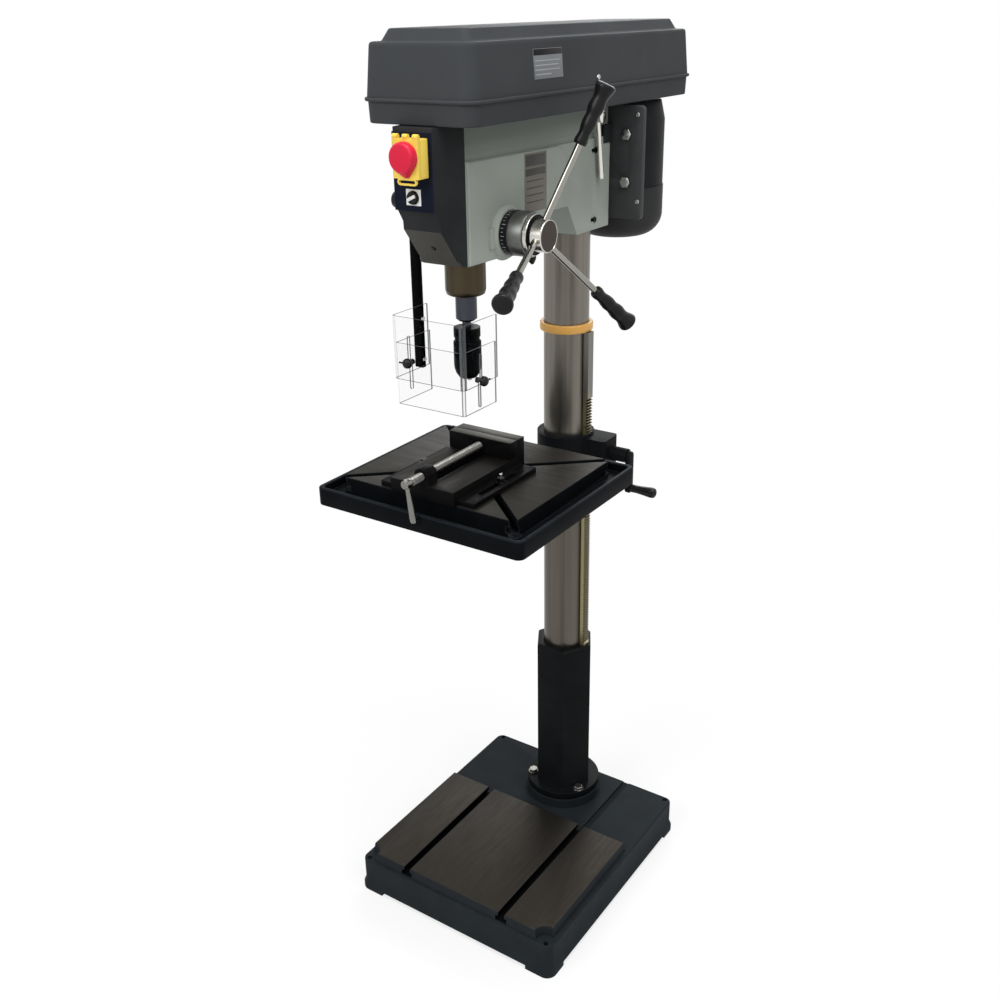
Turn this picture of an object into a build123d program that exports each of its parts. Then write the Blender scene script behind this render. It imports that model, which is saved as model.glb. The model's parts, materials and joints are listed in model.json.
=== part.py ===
from build123d import *
import os
from math import cos, sin, tan, pi, radians

os.makedirs("parts", exist_ok=True)

# Floor-standing pillar drill. Origin on the floor, midway between the four anchor holes of the base.
# +Z is up, -Y is the operator's side and +X is the side of the feed handle.

# Fits
shaft_fit = 0.05
column_fit = 0.1
running_gap = 0.3

# Base casting
base_width = 506
base_depth = 568
base_corner = 22
base_edge = 4
base_wall = 14
deck_height = 80
deck_thickness = 12
rail_rise = 10
foot_width = 62
foot_depth = 52
anchor_side_margin = 19
anchor_end_margin = 12
anchor_hole = 14
anchor_boss = 60
base_rib = 10
base_rib_rise = 22
pad_rise = 23
pad_width = 482
pad_depth = 338
pad_front_margin = 6.5
pad_draft = 8
pad_notch = 48
slot_spacing = 248
slot_mouth = 16
slot_foot = 28
slot_mouth_depth = 9
slot_foot_depth = 11
drain_groove_depth = 4
column_boss = 176

# Column, its support and the lifting rack
column_y = 185
column_radius = 46
column_wall = 6
column_top = 1605
support_flange = 170
support_flange_thickness = 17
support_across_flats = 120
support_top = 497
support_chamfer = 4
flange_bolt_circle = 72
flange_bolt_count = 3
flange_bolt_radius = 6
flange_bolt_depth = 18
flange_bolt_flats = 19
flange_bolt_head = 8
collar_bottom = 1223
collar_height = 17
collar_radius = 54
collar_chamfer = 1.5
rack_width = 20
rack_thickness = 11.7
rack_module = 2
rack_teeth_top = 1081
rack_backlash = 0.6
pressure_angle = 20

# Table bracket with its lifting gear
bracket_bottom = 905
bracket_height = 100
bracket_radius = 60
case_reach = 102
case_front = 17
case_back = 43
case_height = 95
case_round = 8
lift_gear_z = 936
lift_pinion_teeth = 12
lift_shaft_radius = 7
worm_wheel_radius = 20
worm_wheel_start = 15
worm_wheel_width = 13
worm_radius = 8
worm_gap = 0.6
worm_length = 40
pocket_room = 1
crank_boss_radius = 15
crank_boss_reach = 137
crank_drop = 70
crank_arm_width = 22
crank_arm_thickness = 9
crank_pin_radius = 4
crank_grip_length = 58
crank_grip_root = 8
crank_grip_end = 11
clamp_ear_width = 48
clamp_ear_reach = 88
clamp_ear_height = 50
clamp_slit = 3
clamp_screw_y = 74
clamp_screw_radius = 6
lock_lever_length = 62
lock_lever_radius = 5
lock_hub_radius = 11
lock_hub_length = 15

# Tilting table
table_width = 456
table_depth = 404
table_y = -137
table_corner = 14
rim_top = 1011
rim_height = 35
rim_wall = 9
trough_depth = 16
trough_width = 27
floor_thickness = 8
platform_top = 1028
platform_thickness = 16
platform_wall = 10
platform_corner = 6
table_rib = 10
table_rib_depth = 26
table_slot_width = 14
table_slot_end = 78
table_slot_mouth_depth = 13
table_slot_foot_width = 24
table_slot_foot_depth = 13
table_slot_wall = 6
table_slot_floor = 7
tilt_z = 940
tilt_face_y = -20
tilt_boss_radius = 38
tilt_boss_thickness = 40
tilt_arm_radius = 30
tilt_disc_radius = 36
tilt_disc_thickness = 16
tilt_bolt_radius = 8
tilt_bolt_depth = 45
tilt_bolt_flats = 24
tilt_bolt_head = 12

# Drill vise on the table
vise_width = 140
vise_front = -310
vise_back = -84
vise_bed_height = 27
vise_flange_reach = 34
vise_flange_thickness = 9
vise_flange_front = -296
vise_flange_back = -96
vise_flange_slot = 12
vise_flange_slot_length = 120
vise_jaw_height = 33
vise_jaw_depth = 23
vise_guide = 20
vise_guide_depth = 18
vise_screw_radius = 8
vise_screw_rise = 16
vise_nut_radius = 15
vise_nut_length = 28
vise_screw_seat = 12
vise_handle_y = -350
vise_handle_radius = 5
vise_handle_length = 72
vise_handle_lean = 10
vise_hub_radius = 11
vise_hub_length = 20

# Spindle, quill and keyless chuck
spindle_y = -159
quill_radius = 36
quill_bottom = 1365
quill_top = 1612
quill_bore = 20
quill_chamfer = 4
quill_travel = 120
quill_rack_width = 18
quill_rack_offset = 33
feed_module = 2
bearing_outer = 30
bearing_height = 17
bearing_inset = 6
spindle_radius = 17
spindle_nose = 19
spindle_nose_bottom = 1322
spindle_neck = 14
spindle_neck_bottom = 1318
arbor_radius = 8
arbor_length = 30
spline_count = 6
spline_outer = 15
spline_root = 13
spline_width = 5
spline_fit = 0.15
spindle_top = 1746
chuck_top = 1306
chuck_ring_radius = 24
chuck_ring_height = 17
chuck_core = 18
chuck_core_bottom = 1232
chuck_sleeve_radius = 25
chuck_nose_radius = 15
chuck_nose_top = 1229
chuck_bottom = 1214
chuck_mouth = 11
jaw_count = 3
jaw_radius = 4
jaw_top_radius = 12
jaw_top = 1268
jaw_tip_radius = 5.2
jaw_tip = 1210
jaw_travel = 10

# Head casting
head_bottom = 1428
head_top = 1655
head_front = -220
head_front_half = 50
head_shoulder_y = 110
head_back = 240
head_back_half = 64
head_band = 1597
head_band_inset = 5
head_wall = 10
head_round = 8
arch_front = -50
arch_rise_y = 10
arch_back = 82
arch_foot = 114
arch_top = 1485
cavity_floor = 1500
cavity_front = -100
cavity_back = 125
set_screw_radius = 5
set_screw_length = 17
set_screw_heights = (1447, 1575)

# Feed shaft, dial, hub and spokes
feed_y = -113
feed_z = 1470
feed_teeth = 13
feed_shaft_radius = 10
feed_journal_radius = 16
feed_gear_half = 8.5
feed_journal_start = 22
feed_boss_radius = 41
feed_boss_reach = 66
dial_radius = 38.5
dial_width = 44
dial_bore = 24
hub_ring_radius = 35
hub_ring_width = 7
hub_radius = 28
hub_face = 143
hub_edge = 3
spoke_count = 3
spoke_first_angle = 73.5
spoke_radius = 6.5
spoke_root_x = 127
spoke_root = 16
spoke_lean = 0.35
spoke_end = 226
grip_start = 152
grip_end = 250
grip_neck = 10.5
grip_waist = 10
grip_bulge = 14
grip_throat = 12
grip_tip = 18
dial_lock_angle = 285
dial_lock_reach = 34
dial_lock_radius = 7
dial_lock_length = 19
dial_lock_stem = 3
spring_boss_radius = 42
spring_boss_reach = 60
spring_cap_radius = 40
spring_cap_depth = 24
spring_cap_wall = 3
spring_width = 14
spring_turns = 5
spring_strip = 0.8
spring_inner = 14
spring_outer = 36
spring_steps = 20

# Front cover and switches
cover_front = -291
cover_half = 38
cover_wall = 4
cover_bend_z = 1530
cover_step_y = -276
cover_step_z = 1506
cover_chin_y = -275
cover_chin_z = 1492
cover_toe_y = -226
switch_plate_half = 39
switch_plate_thickness = 2
switch_plate_top = 1648
switch_plate_bottom = 1526
switch_x = 7
switch_width = 50
switch_height = 60
switch_bottom = 1580
switch_depth = 18
start_button_radius = 9
start_button_length = 12
start_button_room = 4
start_button_drop = 10
flap_thickness = 7
flap_hinge_radius = 4
flap_lug_count = 3
flap_lug_width = 10
mushroom_radius = 25
mushroom_rise = 5
mushroom_stem = 11
mushroom_stem_length = 3
mushroom_depth = 12
mushroom_edge = 4
selector_x = 0
selector_z = 1548
selector_radius = 11
selector_length = 8
selector_stem = 4

# Belt guard
guard_front = -280
guard_back = 484
guard_half = 112
guard_corner = 30
pan_bottom = 1656
pan_thickness = 3
pan_inset = 1
pan_wall = 3
lip_top = 1695.5
lip_height = 6
lip_proud = 4
lid_fold = 1778
lid_draft = 4.5
lid_wall = 2.5
lid_ledge = 17
lid_plateau_height = 19
lid_plateau_draft = 28
lid_plateau_corner = 20
lid_hinge_x = -122
lid_hinge_drop = 3
lid_hinge_pin = 3
lid_hinge_barrel = 5.5
lid_hinge_length = 50
lid_hinge_ears = (-100, 300)
lid_hinge_post = 8

# Belt drive inside the guard
pulley_bottom = 1682
pulley_step = 17
pulley_rim = 4
groove_height = 11
groove_depth = 9
belt_height = 10
belt_thickness = 6.5
belt_seat = 2
spindle_steps = (70, 60, 50, 40)
idler_steps = (36, 46, 56, 66)
motor_steps = (50, 42, 34, 26)
spindle_belt_step_number = 1
motor_belt_step_number = 2
drive_sleeve_radius = 22
drive_sleeve_bottom = 1616
idler_y = 110
idler_shaft_radius = 9
idler_pivot_x = -42
idler_pivot_y = 68
idler_pivot_radius = 10
idler_pivot_depth = 60
idler_arm_bottom = 1664
idler_arm_height = 12
idler_arm_half = 20
idler_boss_radius = 18

# Motor on its slide
motor_y = 388
motor_radius = 92
motor_top = 1648
motor_top_radius = 84
motor_top_chamfer = 36
motor_bottom = 1484
motor_cavity_radius = 46
motor_end_wall = 14
motor_shaft_radius = 12
motor_foot_half = 62
motor_foot_bottom = 1496
motor_foot_top = 1612
rotor_radius = 44
rotor_margin = 8
fan_radius = 78
fan_hub = 20
fan_blades = 8
fan_blade_thickness = 4
fan_height = 30
fan_drop = 8
fan_cover_radius = 93.5
fan_cover_bottom = 1382
fan_cover_round = 46
fan_cover_wall = 2.5
fan_cover_vent_count = 5
fan_cover_vent = 9
motor_plate_half = 126
motor_plate_bottom = 1440
motor_plate_top = 1650
motor_plate_front = 250
motor_plate_thickness = 12
motor_bolt_x = 93
motor_bolt_heights = (1510, 1598)
motor_bolt_radius = 6
motor_bolt_flats = 19
motor_bolt_head = 8
motor_bolt_reach = 26
motor_slide_in = 8
motor_slide_out = 22
slide_rod_x = 38
slide_rod_z = 1618
slide_rod_radius = 8
slide_rod_front = 150
lever_y = 170
lever_z = 1636
lever_shaft_radius = 6
lever_shaft_start = -48
lever_hub_x = 62
lever_hub_length = 22
lever_hub_radius = 11
lever_rod_radius = 4
lever_rod_end = 5.5
lever_rod_length = 114
lever_lean = 8.5

# Chuck guard
chuck_guard_y = -192
chuck_guard_z = 1523
chuck_guard_boss = 14
shield_left = -73
shield_right = 79
shield_front = -280
shield_back = -180
shield_wall = 3
shield_top = 1344
shield_bottom = 1232
shield_gap = 0.5
shield_corner = 8
lower_shield_top = 1296
lower_shield_bottom = 1185
lower_shield_travel = 45
shield_slot = 6
front_knob_x = -37.5
front_knob_z = 1265
side_knob_y = -229
side_knob_z = 1238
guard_knob_radius = 9
guard_knob_length = 12
guard_knob_stem = 2.5
guard_nut_radius = 5
guard_nut_length = 4
guard_bar_width = 18
guard_bar_thickness = 10
guard_bar_bottom = 1228
guard_bar_eye = 13
guard_pin_radius = 6
guard_pin_root = 45
pivot_collar_radius = 10
pivot_collar_length = 6
pivot_knob_radius = 14.5
pivot_knob_length = 22


# Sketch planes and shared outlines
def front_view(y, z=0):
    """Plane facing the operator: local x is X, local y is Z, and extrusions run towards the front."""
    return Plane(origin=(0, y, z), x_dir=(1, 0, 0), z_dir=(0, -1, 0))


def side_view(x, z=0):
    """Plane facing +X: local x is Y, local y is Z, and extrusions run towards +X."""
    return Plane(origin=(x, 0, z), x_dir=(0, 1, 0), z_dir=(1, 0, 0))


def bar(start, direction, radius, length, mode=Mode.ADD):
    """Round bar from a start point along a direction."""
    with Locations(Plane(origin=start, z_dir=direction)):
        Cylinder(radius, length, align=(Align.CENTER, Align.CENTER, Align.MIN), mode=mode)


def span_box(low, high, mode=Mode.ADD):
    """Box between two opposite corners."""
    with Locations(tuple(low)):
        Box(*[b - a for a, b in zip(low, high)], align=(Align.MIN, Align.MIN, Align.MIN), mode=mode)


def gear_outline(teeth, module, first_angle, backlash):
    """Outline of a spur gear with straight-sided teeth."""
    pitch_radius = teeth * module / 2
    half_pitch = pi * module / 4 - backlash / 2
    flank = (
        (pitch_radius - 1.25 * module, half_pitch + 0.2 * module),
        (pitch_radius, half_pitch),
        (pitch_radius + 0.85 * module, half_pitch - 0.42 * module),
    )
    points = []
    for tooth in range(teeth):
        centre = radians(first_angle + tooth * 360 / teeth)
        for radius, half in flank:
            points.append((radius * cos(centre - half / radius), radius * sin(centre - half / radius)))
        for radius, half in reversed(flank):
            points.append((radius * cos(centre + half / radius), radius * sin(centre + half / radius)))
    return points


def rack_gap(centre, tip, module, backlash, direction=1):
    """Four corners of one gap between rack teeth, as pairs of depth and place along the rack."""
    half_pitch = pi * module / 4 + backlash / 2
    slope = tan(radians(pressure_angle))
    at_tip = half_pitch + module * slope
    at_root = half_pitch - 1.25 * module * slope
    root = tip - direction * 2.25 * module
    return [
        (tip, centre - at_tip),
        (root, centre - at_root),
        (root, centre + at_root),
        (tip, centre + at_tip),
    ]


def head_plan(inset):
    """Plan of the head casting, drawn in from its sides by an inset."""
    front = head_front_half - inset
    back = head_back_half - inset
    return [
        (-front, head_front),
        (front, head_front),
        (back, head_shoulder_y),
        (back, head_back),
        (-back, head_back),
        (-back, head_shoulder_y),
    ]


# Base casting with its ribs, machined pad, T-slots and anchor holes
flange_z = deck_height + pad_rise
anchor_across = base_width - 2 * anchor_side_margin
anchor_along = base_depth - 2 * anchor_end_margin
pad_y = -base_depth / 2 + pad_front_margin + pad_depth / 2
pad_back = pad_y + pad_depth / 2
slot_floor = flange_z - slot_mouth_depth - slot_foot_depth
under_deck = deck_height - deck_thickness
with BuildPart() as base:
    with BuildSketch(Plane.XY.offset(rail_rise)):
        RectangleRounded(base_width, base_depth, base_corner)
    extrude(amount=deck_height - rail_rise)
    fillet(base.faces().sort_by(Axis.Z)[-1].edges(), radius=base_edge)
    with BuildSketch():
        with GridLocations(base_width - foot_width, base_depth - foot_depth, 2, 2):
            Rectangle(foot_width, foot_depth)
        RectangleRounded(base_width, base_depth, base_corner, mode=Mode.INTERSECT)
    extrude(amount=rail_rise)
    with BuildSketch():
        RectangleRounded(base_width - 2 * base_wall, base_depth - 2 * base_wall, base_corner - base_wall / 2)
        with GridLocations(anchor_across, anchor_along, 2, 2):
            Circle(anchor_boss / 2, mode=Mode.SUBTRACT)
    extrude(amount=under_deck, mode=Mode.SUBTRACT)
    with BuildSketch(Plane.XY.offset(base_rib_rise)):
        with GridLocations(base_width / 3, 0, 2, 1):
            Rectangle(base_rib, base_depth - base_wall)
        with GridLocations(0, base_depth / 3, 1, 2):
            Rectangle(base_width - base_wall, base_rib)
    extrude(amount=under_deck - base_rib_rise)
    with BuildSketch(Plane.XY.offset(deck_height)):
        with Locations((0, pad_y)):
            Rectangle(pad_width, pad_depth)
        with GridLocations(anchor_across, anchor_along, 2, 2):
            Circle(pad_notch / 2, mode=Mode.SUBTRACT)
    extrude(amount=pad_rise, taper=pad_draft)
    with BuildSketch(Plane.XY.offset(deck_height)):
        with Locations((0, column_y)):
            Circle(column_boss / 2)
    extrude(amount=pad_rise)
    with BuildSketch(Plane.XY.offset(flange_z)):
        with GridLocations(slot_spacing, 0, 2, 1):
            with Locations((0, pad_y)):
                Rectangle(slot_mouth, pad_depth)
    extrude(amount=-slot_mouth_depth, mode=Mode.SUBTRACT)
    with BuildSketch(Plane.XY.offset(slot_floor)):
        with GridLocations(slot_spacing, 0, 2, 1):
            with Locations((0, pad_y)):
                Rectangle(slot_foot, pad_depth)
    extrude(amount=slot_foot_depth, mode=Mode.SUBTRACT)
    span_box(
        (slot_spacing / 2 - slot_mouth / 2, pad_back, deck_height - drain_groove_depth),
        (slot_spacing / 2 + slot_mouth / 2, base_depth / 2, deck_height),
        mode=Mode.SUBTRACT,
    )
    with BuildSketch():
        with GridLocations(anchor_across, anchor_along, 2, 2):
            Circle(anchor_hole / 2)
    extrude(amount=deck_height, mode=Mode.SUBTRACT)
    with BuildSketch(Plane.XY.offset(flange_z)):
        with Locations((0, column_y)):
            with PolarLocations(flange_bolt_circle, flange_bolt_count, start_angle=90):
                Circle(flange_bolt_radius + shaft_fit)
    extrude(amount=-flange_bolt_depth - running_gap, mode=Mode.SUBTRACT)
base.part.label = "base"
export_step(base.part, "parts/base.step")

# Hexagonal column support with its round flange
support_foot = flange_z + support_flange_thickness
with BuildPart() as column_support:
    with BuildSketch(Plane.XY.offset(support_foot)):
        with Locations((0, column_y)):
            RegularPolygon(support_across_flats / 2, 6, major_radius=False)
    extrude(amount=support_top - support_foot)
    chamfer(column_support.faces().sort_by(Axis.Z)[-1].edges(), length=support_chamfer)
    with BuildSketch(Plane.XY.offset(flange_z)):
        with Locations((0, column_y)):
            Circle(support_flange / 2)
    extrude(amount=support_flange_thickness)
    with BuildSketch(Plane.XY.offset(flange_z)):
        with Locations((0, column_y)):
            Circle(column_radius + shaft_fit)
            with PolarLocations(flange_bolt_circle, flange_bolt_count, start_angle=90):
                Circle(flange_bolt_radius + shaft_fit)
    extrude(amount=support_top, mode=Mode.SUBTRACT)
column_support.part.label = "column_support"
export_step(column_support.part, "parts/column_support.step")

# Three bolts that hold the support to the base
with BuildPart() as flange_bolts:
    with BuildSketch(Plane.XY.offset(flange_z - flange_bolt_depth)):
        with Locations((0, column_y)):
            with PolarLocations(flange_bolt_circle, flange_bolt_count, start_angle=90):
                Circle(flange_bolt_radius)
    extrude(amount=support_foot - flange_z + flange_bolt_depth)
    with BuildSketch(Plane.XY.offset(support_foot)):
        with Locations((0, column_y)):
            with PolarLocations(flange_bolt_circle, flange_bolt_count, start_angle=90):
                RegularPolygon(flange_bolt_flats / 2, 6, major_radius=False)
    extrude(amount=flange_bolt_head)
flange_bolts.part.label = "flange_bolts"
export_step(flange_bolts.part, "parts/flange_bolts.step")

# Column tube
with BuildPart() as column:
    with BuildSketch(Plane.XY.offset(flange_z)):
        with Locations((0, column_y)):
            Circle(column_radius)
            Circle(column_radius - column_wall, mode=Mode.SUBTRACT)
    extrude(amount=column_top - flange_z)
column.part.label = "column"
export_step(column.part, "parts/column.step")

# Collar that keeps the top of the rack
with BuildPart() as rack_collar:
    with BuildSketch(Plane.XY.offset(collar_bottom)):
        with Locations((0, column_y)):
            Circle(collar_radius)
            Circle(column_radius + shaft_fit, mode=Mode.SUBTRACT)
    extrude(amount=collar_height)
    collar_rims = rack_collar.edges().filter_by(GeomType.CIRCLE).sort_by(SortBy.RADIUS)[-2:]
    chamfer(collar_rims, length=collar_chamfer)
rack_collar.part.label = "rack_collar"
export_step(rack_collar.part, "parts/rack_collar.step")

# Rack on the right of the column, toothed below and plain above
rack_back = column_radius + running_gap
rack_tip = rack_back + rack_thickness
rack_pitch_x = rack_tip - rack_module
rack_foot = support_top + running_gap
rack_head = collar_bottom - running_gap
rack_pitch = pi * rack_module
rack_outline = [(rack_back, rack_head), (rack_back, rack_foot), (rack_tip, rack_foot)]
first_gap = -int((lift_gear_z - rack_foot) / rack_pitch) + 1
last_gap = int((rack_teeth_top - lift_gear_z) / rack_pitch)
for gap_number in range(first_gap, last_gap + 1):
    rack_outline += rack_gap(lift_gear_z + gap_number * rack_pitch, rack_tip, rack_module, rack_backlash)
rack_outline.append((rack_tip, rack_head))
with BuildPart() as rack:
    with BuildSketch(front_view(column_y + rack_width / 2)):
        Polygon(*rack_outline, align=None)
    extrude(amount=rack_width)
rack.part.label = "rack"
export_step(rack.part, "parts/rack.step")

# Table bracket: ring on the column, gear case, clamp ears and the arm that carries the table
lift_pitch_radius = lift_pinion_teeth * rack_module / 2
lift_gear_x = rack_pitch_x + lift_pitch_radius
lift_pinion_tip = lift_pitch_radius + rack_module
worm_y = column_y + worm_wheel_start + worm_wheel_width / 2
worm_z = lift_gear_z + worm_wheel_radius + worm_radius + worm_gap
worm_start = case_reach - case_front - worm_length
worm_end = worm_start + worm_length
case_back_y = column_y + case_back
pinion_front = column_y - rack_width / 2
wheel_front = column_y + worm_wheel_start
clamp_y = column_y + clamp_screw_y
clamp_z = bracket_bottom + bracket_height / 2
with BuildPart() as table_bracket:
    with BuildSketch(Plane.XY.offset(bracket_bottom)):
        with Locations((0, column_y)):
            Circle(bracket_radius)
    extrude(amount=bracket_height)
    with BuildSketch(Plane.XY.offset(bracket_bottom)):
        with Locations((0, column_y - case_front)):
            Rectangle(case_reach, case_front + case_back, align=(Align.MIN, Align.MIN))
    extrude(amount=case_height)
    fillet(table_bracket.edges().filter_by(Axis.Z).sort_by(Axis.X)[-2:], radius=case_round)
    bar((case_reach, worm_y, worm_z), (1, 0, 0), crank_boss_radius, crank_boss_reach - case_reach)
    bar((0, tilt_face_y, tilt_z), (0, 1, 0), tilt_arm_radius, column_y - tilt_face_y)
    bar((0, tilt_face_y, tilt_z), (0, 1, 0), tilt_disc_radius, tilt_disc_thickness)
    span_box(
        (-clamp_ear_width / 2, column_y, clamp_z - clamp_ear_height / 2),
        (clamp_ear_width / 2, column_y + clamp_ear_reach, clamp_z + clamp_ear_height / 2),
    )
    with BuildSketch(Plane.XY.offset(bracket_bottom)):
        with Locations((0, column_y)):
            Circle(column_radius + column_fit)
            Rectangle(clamp_slit, clamp_ear_reach + clamp_slit, align=(Align.CENTER, Align.MIN))
            Rectangle(
                rack_tip + pocket_room,
                rack_width + 2 * pocket_room,
                align=(Align.MIN, Align.CENTER),
            )
    extrude(amount=bracket_height, mode=Mode.SUBTRACT)
    bar(
        (lift_gear_x, pinion_front - pocket_room, lift_gear_z),
        (0, 1, 0),
        lift_pinion_tip + pocket_room,
        wheel_front - pinion_front + 2 * pocket_room,
        Mode.SUBTRACT,
    )
    bar(
        (lift_gear_x, wheel_front - pocket_room, lift_gear_z),
        (0, 1, 0),
        worm_wheel_radius + pocket_room,
        worm_wheel_width + 2 * pocket_room,
        Mode.SUBTRACT,
    )
    bar(
        (lift_gear_x, column_y - case_front / 2, lift_gear_z),
        (0, 1, 0),
        lift_shaft_radius + shaft_fit,
        case_back + case_front / 2,
        Mode.SUBTRACT,
    )
    bar(
        (lift_gear_x, pinion_front - pocket_room - case_front / 4, lift_gear_z),
        (0, 1, 0),
        lift_shaft_radius + shaft_fit,
        rack_width,
        Mode.SUBTRACT,
    )
    bar(
        (worm_start - pocket_room, worm_y, worm_z),
        (1, 0, 0),
        worm_radius + pocket_room,
        worm_length + 2 * pocket_room,
        Mode.SUBTRACT,
    )
    bar(
        (worm_end, worm_y, worm_z),
        (1, 0, 0),
        worm_radius + shaft_fit,
        crank_boss_reach - worm_end,
        Mode.SUBTRACT,
    )
    bar(
        (-clamp_ear_width / 2, clamp_y, clamp_z),
        (1, 0, 0),
        clamp_screw_radius + shaft_fit,
        clamp_ear_width,
        Mode.SUBTRACT,
    )
    bar((0, tilt_face_y, tilt_z), (0, 1, 0), tilt_bolt_radius + shaft_fit, tilt_bolt_depth, Mode.SUBTRACT)
table_bracket.part.label = "table_bracket"
export_step(table_bracket.part, "parts/table_bracket.step")

# Lifting pinion and worm wheel on one shaft
with BuildPart() as lift_gear:
    pinion_plane = Plane(origin=(lift_gear_x, pinion_front, lift_gear_z), x_dir=(1, 0, 0), z_dir=(0, 1, 0))
    with BuildSketch(pinion_plane):
        Polygon(*gear_outline(lift_pinion_teeth, rack_module, 180, rack_backlash), align=None)
    extrude(amount=rack_width)
    bar((lift_gear_x, wheel_front, lift_gear_z), (0, 1, 0), worm_wheel_radius, worm_wheel_width)
    shaft_start = pinion_front - pocket_room - case_front / 4
    bar((lift_gear_x, shaft_start, lift_gear_z), (0, 1, 0), lift_shaft_radius, case_back_y - shaft_start)
lift_gear.part.label = "lift_gear"
export_step(lift_gear.part, "parts/lift_gear.step")

# Crank with its worm
crank_arm_start = crank_boss_reach + running_gap
crank_arm_end = crank_arm_start + crank_arm_thickness
crank_pin_z = worm_z - crank_drop
with BuildPart() as table_crank:
    bar((worm_start, worm_y, worm_z), (1, 0, 0), worm_radius, crank_arm_end - worm_start)
    with BuildSketch(Plane(origin=(crank_arm_start, worm_y, worm_z), x_dir=(0, 0, -1), z_dir=(1, 0, 0))):
        with Locations((crank_drop / 2, 0)):
            SlotCenterToCenter(crank_drop, crank_arm_width)
    extrude(amount=crank_arm_thickness)
    bar((crank_arm_end, worm_y, crank_pin_z), (1, 0, 0), crank_pin_radius, crank_grip_length)
table_crank.part.label = "table_crank"
export_step(table_crank.part, "parts/table_crank.step")

# Loose grip on the crank's pin
grip_root_x = crank_arm_end + running_gap
with BuildPart() as crank_grip:
    with BuildSketch(front_view(worm_y, crank_pin_z)):
        with BuildLine():
            root_corner = (grip_root_x, crank_grip_root)
            end_corner = (crank_arm_end + crank_grip_length - crank_grip_end / 2, crank_grip_end)
            swell = Spline(root_corner, end_corner, tangents=((1, 0), (1, 0.1)))
            nose_end = (crank_arm_end + crank_grip_length, crank_pin_radius + shaft_fit)
            nose = TangentArc(swell @ 1, nose_end, tangent=(1, 0))
            Polyline(
                nose @ 1,
                (grip_root_x, crank_pin_radius + shaft_fit),
                root_corner,
            )
        make_face()
    revolve(axis=Axis((0, worm_y, crank_pin_z), (1, 0, 0)))
crank_grip.part.label = "crank_grip"
export_step(crank_grip.part, "parts/crank_grip.step")

# Clamp screw with the lever that locks the bracket on the column
lock_hub_start = -clamp_ear_width / 2 - running_gap
lock_lever_x = lock_hub_start - lock_hub_length / 2
with BuildPart() as column_lock:
    bar((lock_hub_start, clamp_y, clamp_z), (1, 0, 0), clamp_screw_radius, clamp_ear_width + 2 * running_gap)
    bar((lock_hub_start, clamp_y, clamp_z), (-1, 0, 0), lock_hub_radius, lock_hub_length)
    bar((-lock_hub_start, clamp_y, clamp_z), (1, 0, 0), lock_hub_radius, lock_hub_length / 2)
    bar((lock_lever_x, clamp_y, clamp_z), (0, 0, -1), lock_lever_radius, lock_lever_length)
column_lock.part.label = "column_lock"
export_step(column_lock.part, "parts/column_lock.step")

# Table with a coolant trough, raised platform, diagonal T-slots in bosses and the tilting boss underneath
rim_bottom = rim_top - rim_height
trough_floor = rim_top - trough_depth
platform_width = table_width - 2 * (rim_wall + trough_width)
platform_depth = table_depth - 2 * (rim_wall + trough_width)
under_platform = platform_top - platform_thickness
boss_back = tilt_face_y - running_gap
boss_front = boss_back - tilt_boss_thickness
slot_direction = Vector(platform_width, platform_depth).normalized()
slot_far = Vector(platform_width, platform_depth).length / 2
slot_middle = slot_direction * (slot_far + table_slot_end) / 2
slot_angle = Vector(1, 0).get_angle(slot_direction)
slot_length = slot_far - table_slot_end + 2 * table_slot_width
slot_shoulder = platform_top - table_slot_mouth_depth
slot_bottom = slot_shoulder - table_slot_foot_depth
slot_places = [
    (side, turn, (side * slot_middle.X, table_y + turn * slot_middle.Y))
    for side, turn in ((1, 1), (1, -1), (-1, 1), (-1, -1))
]
slot_levels = (
    (table_slot_width, slot_shoulder, table_slot_mouth_depth),
    (table_slot_foot_width, slot_bottom, table_slot_foot_depth),
)
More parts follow.
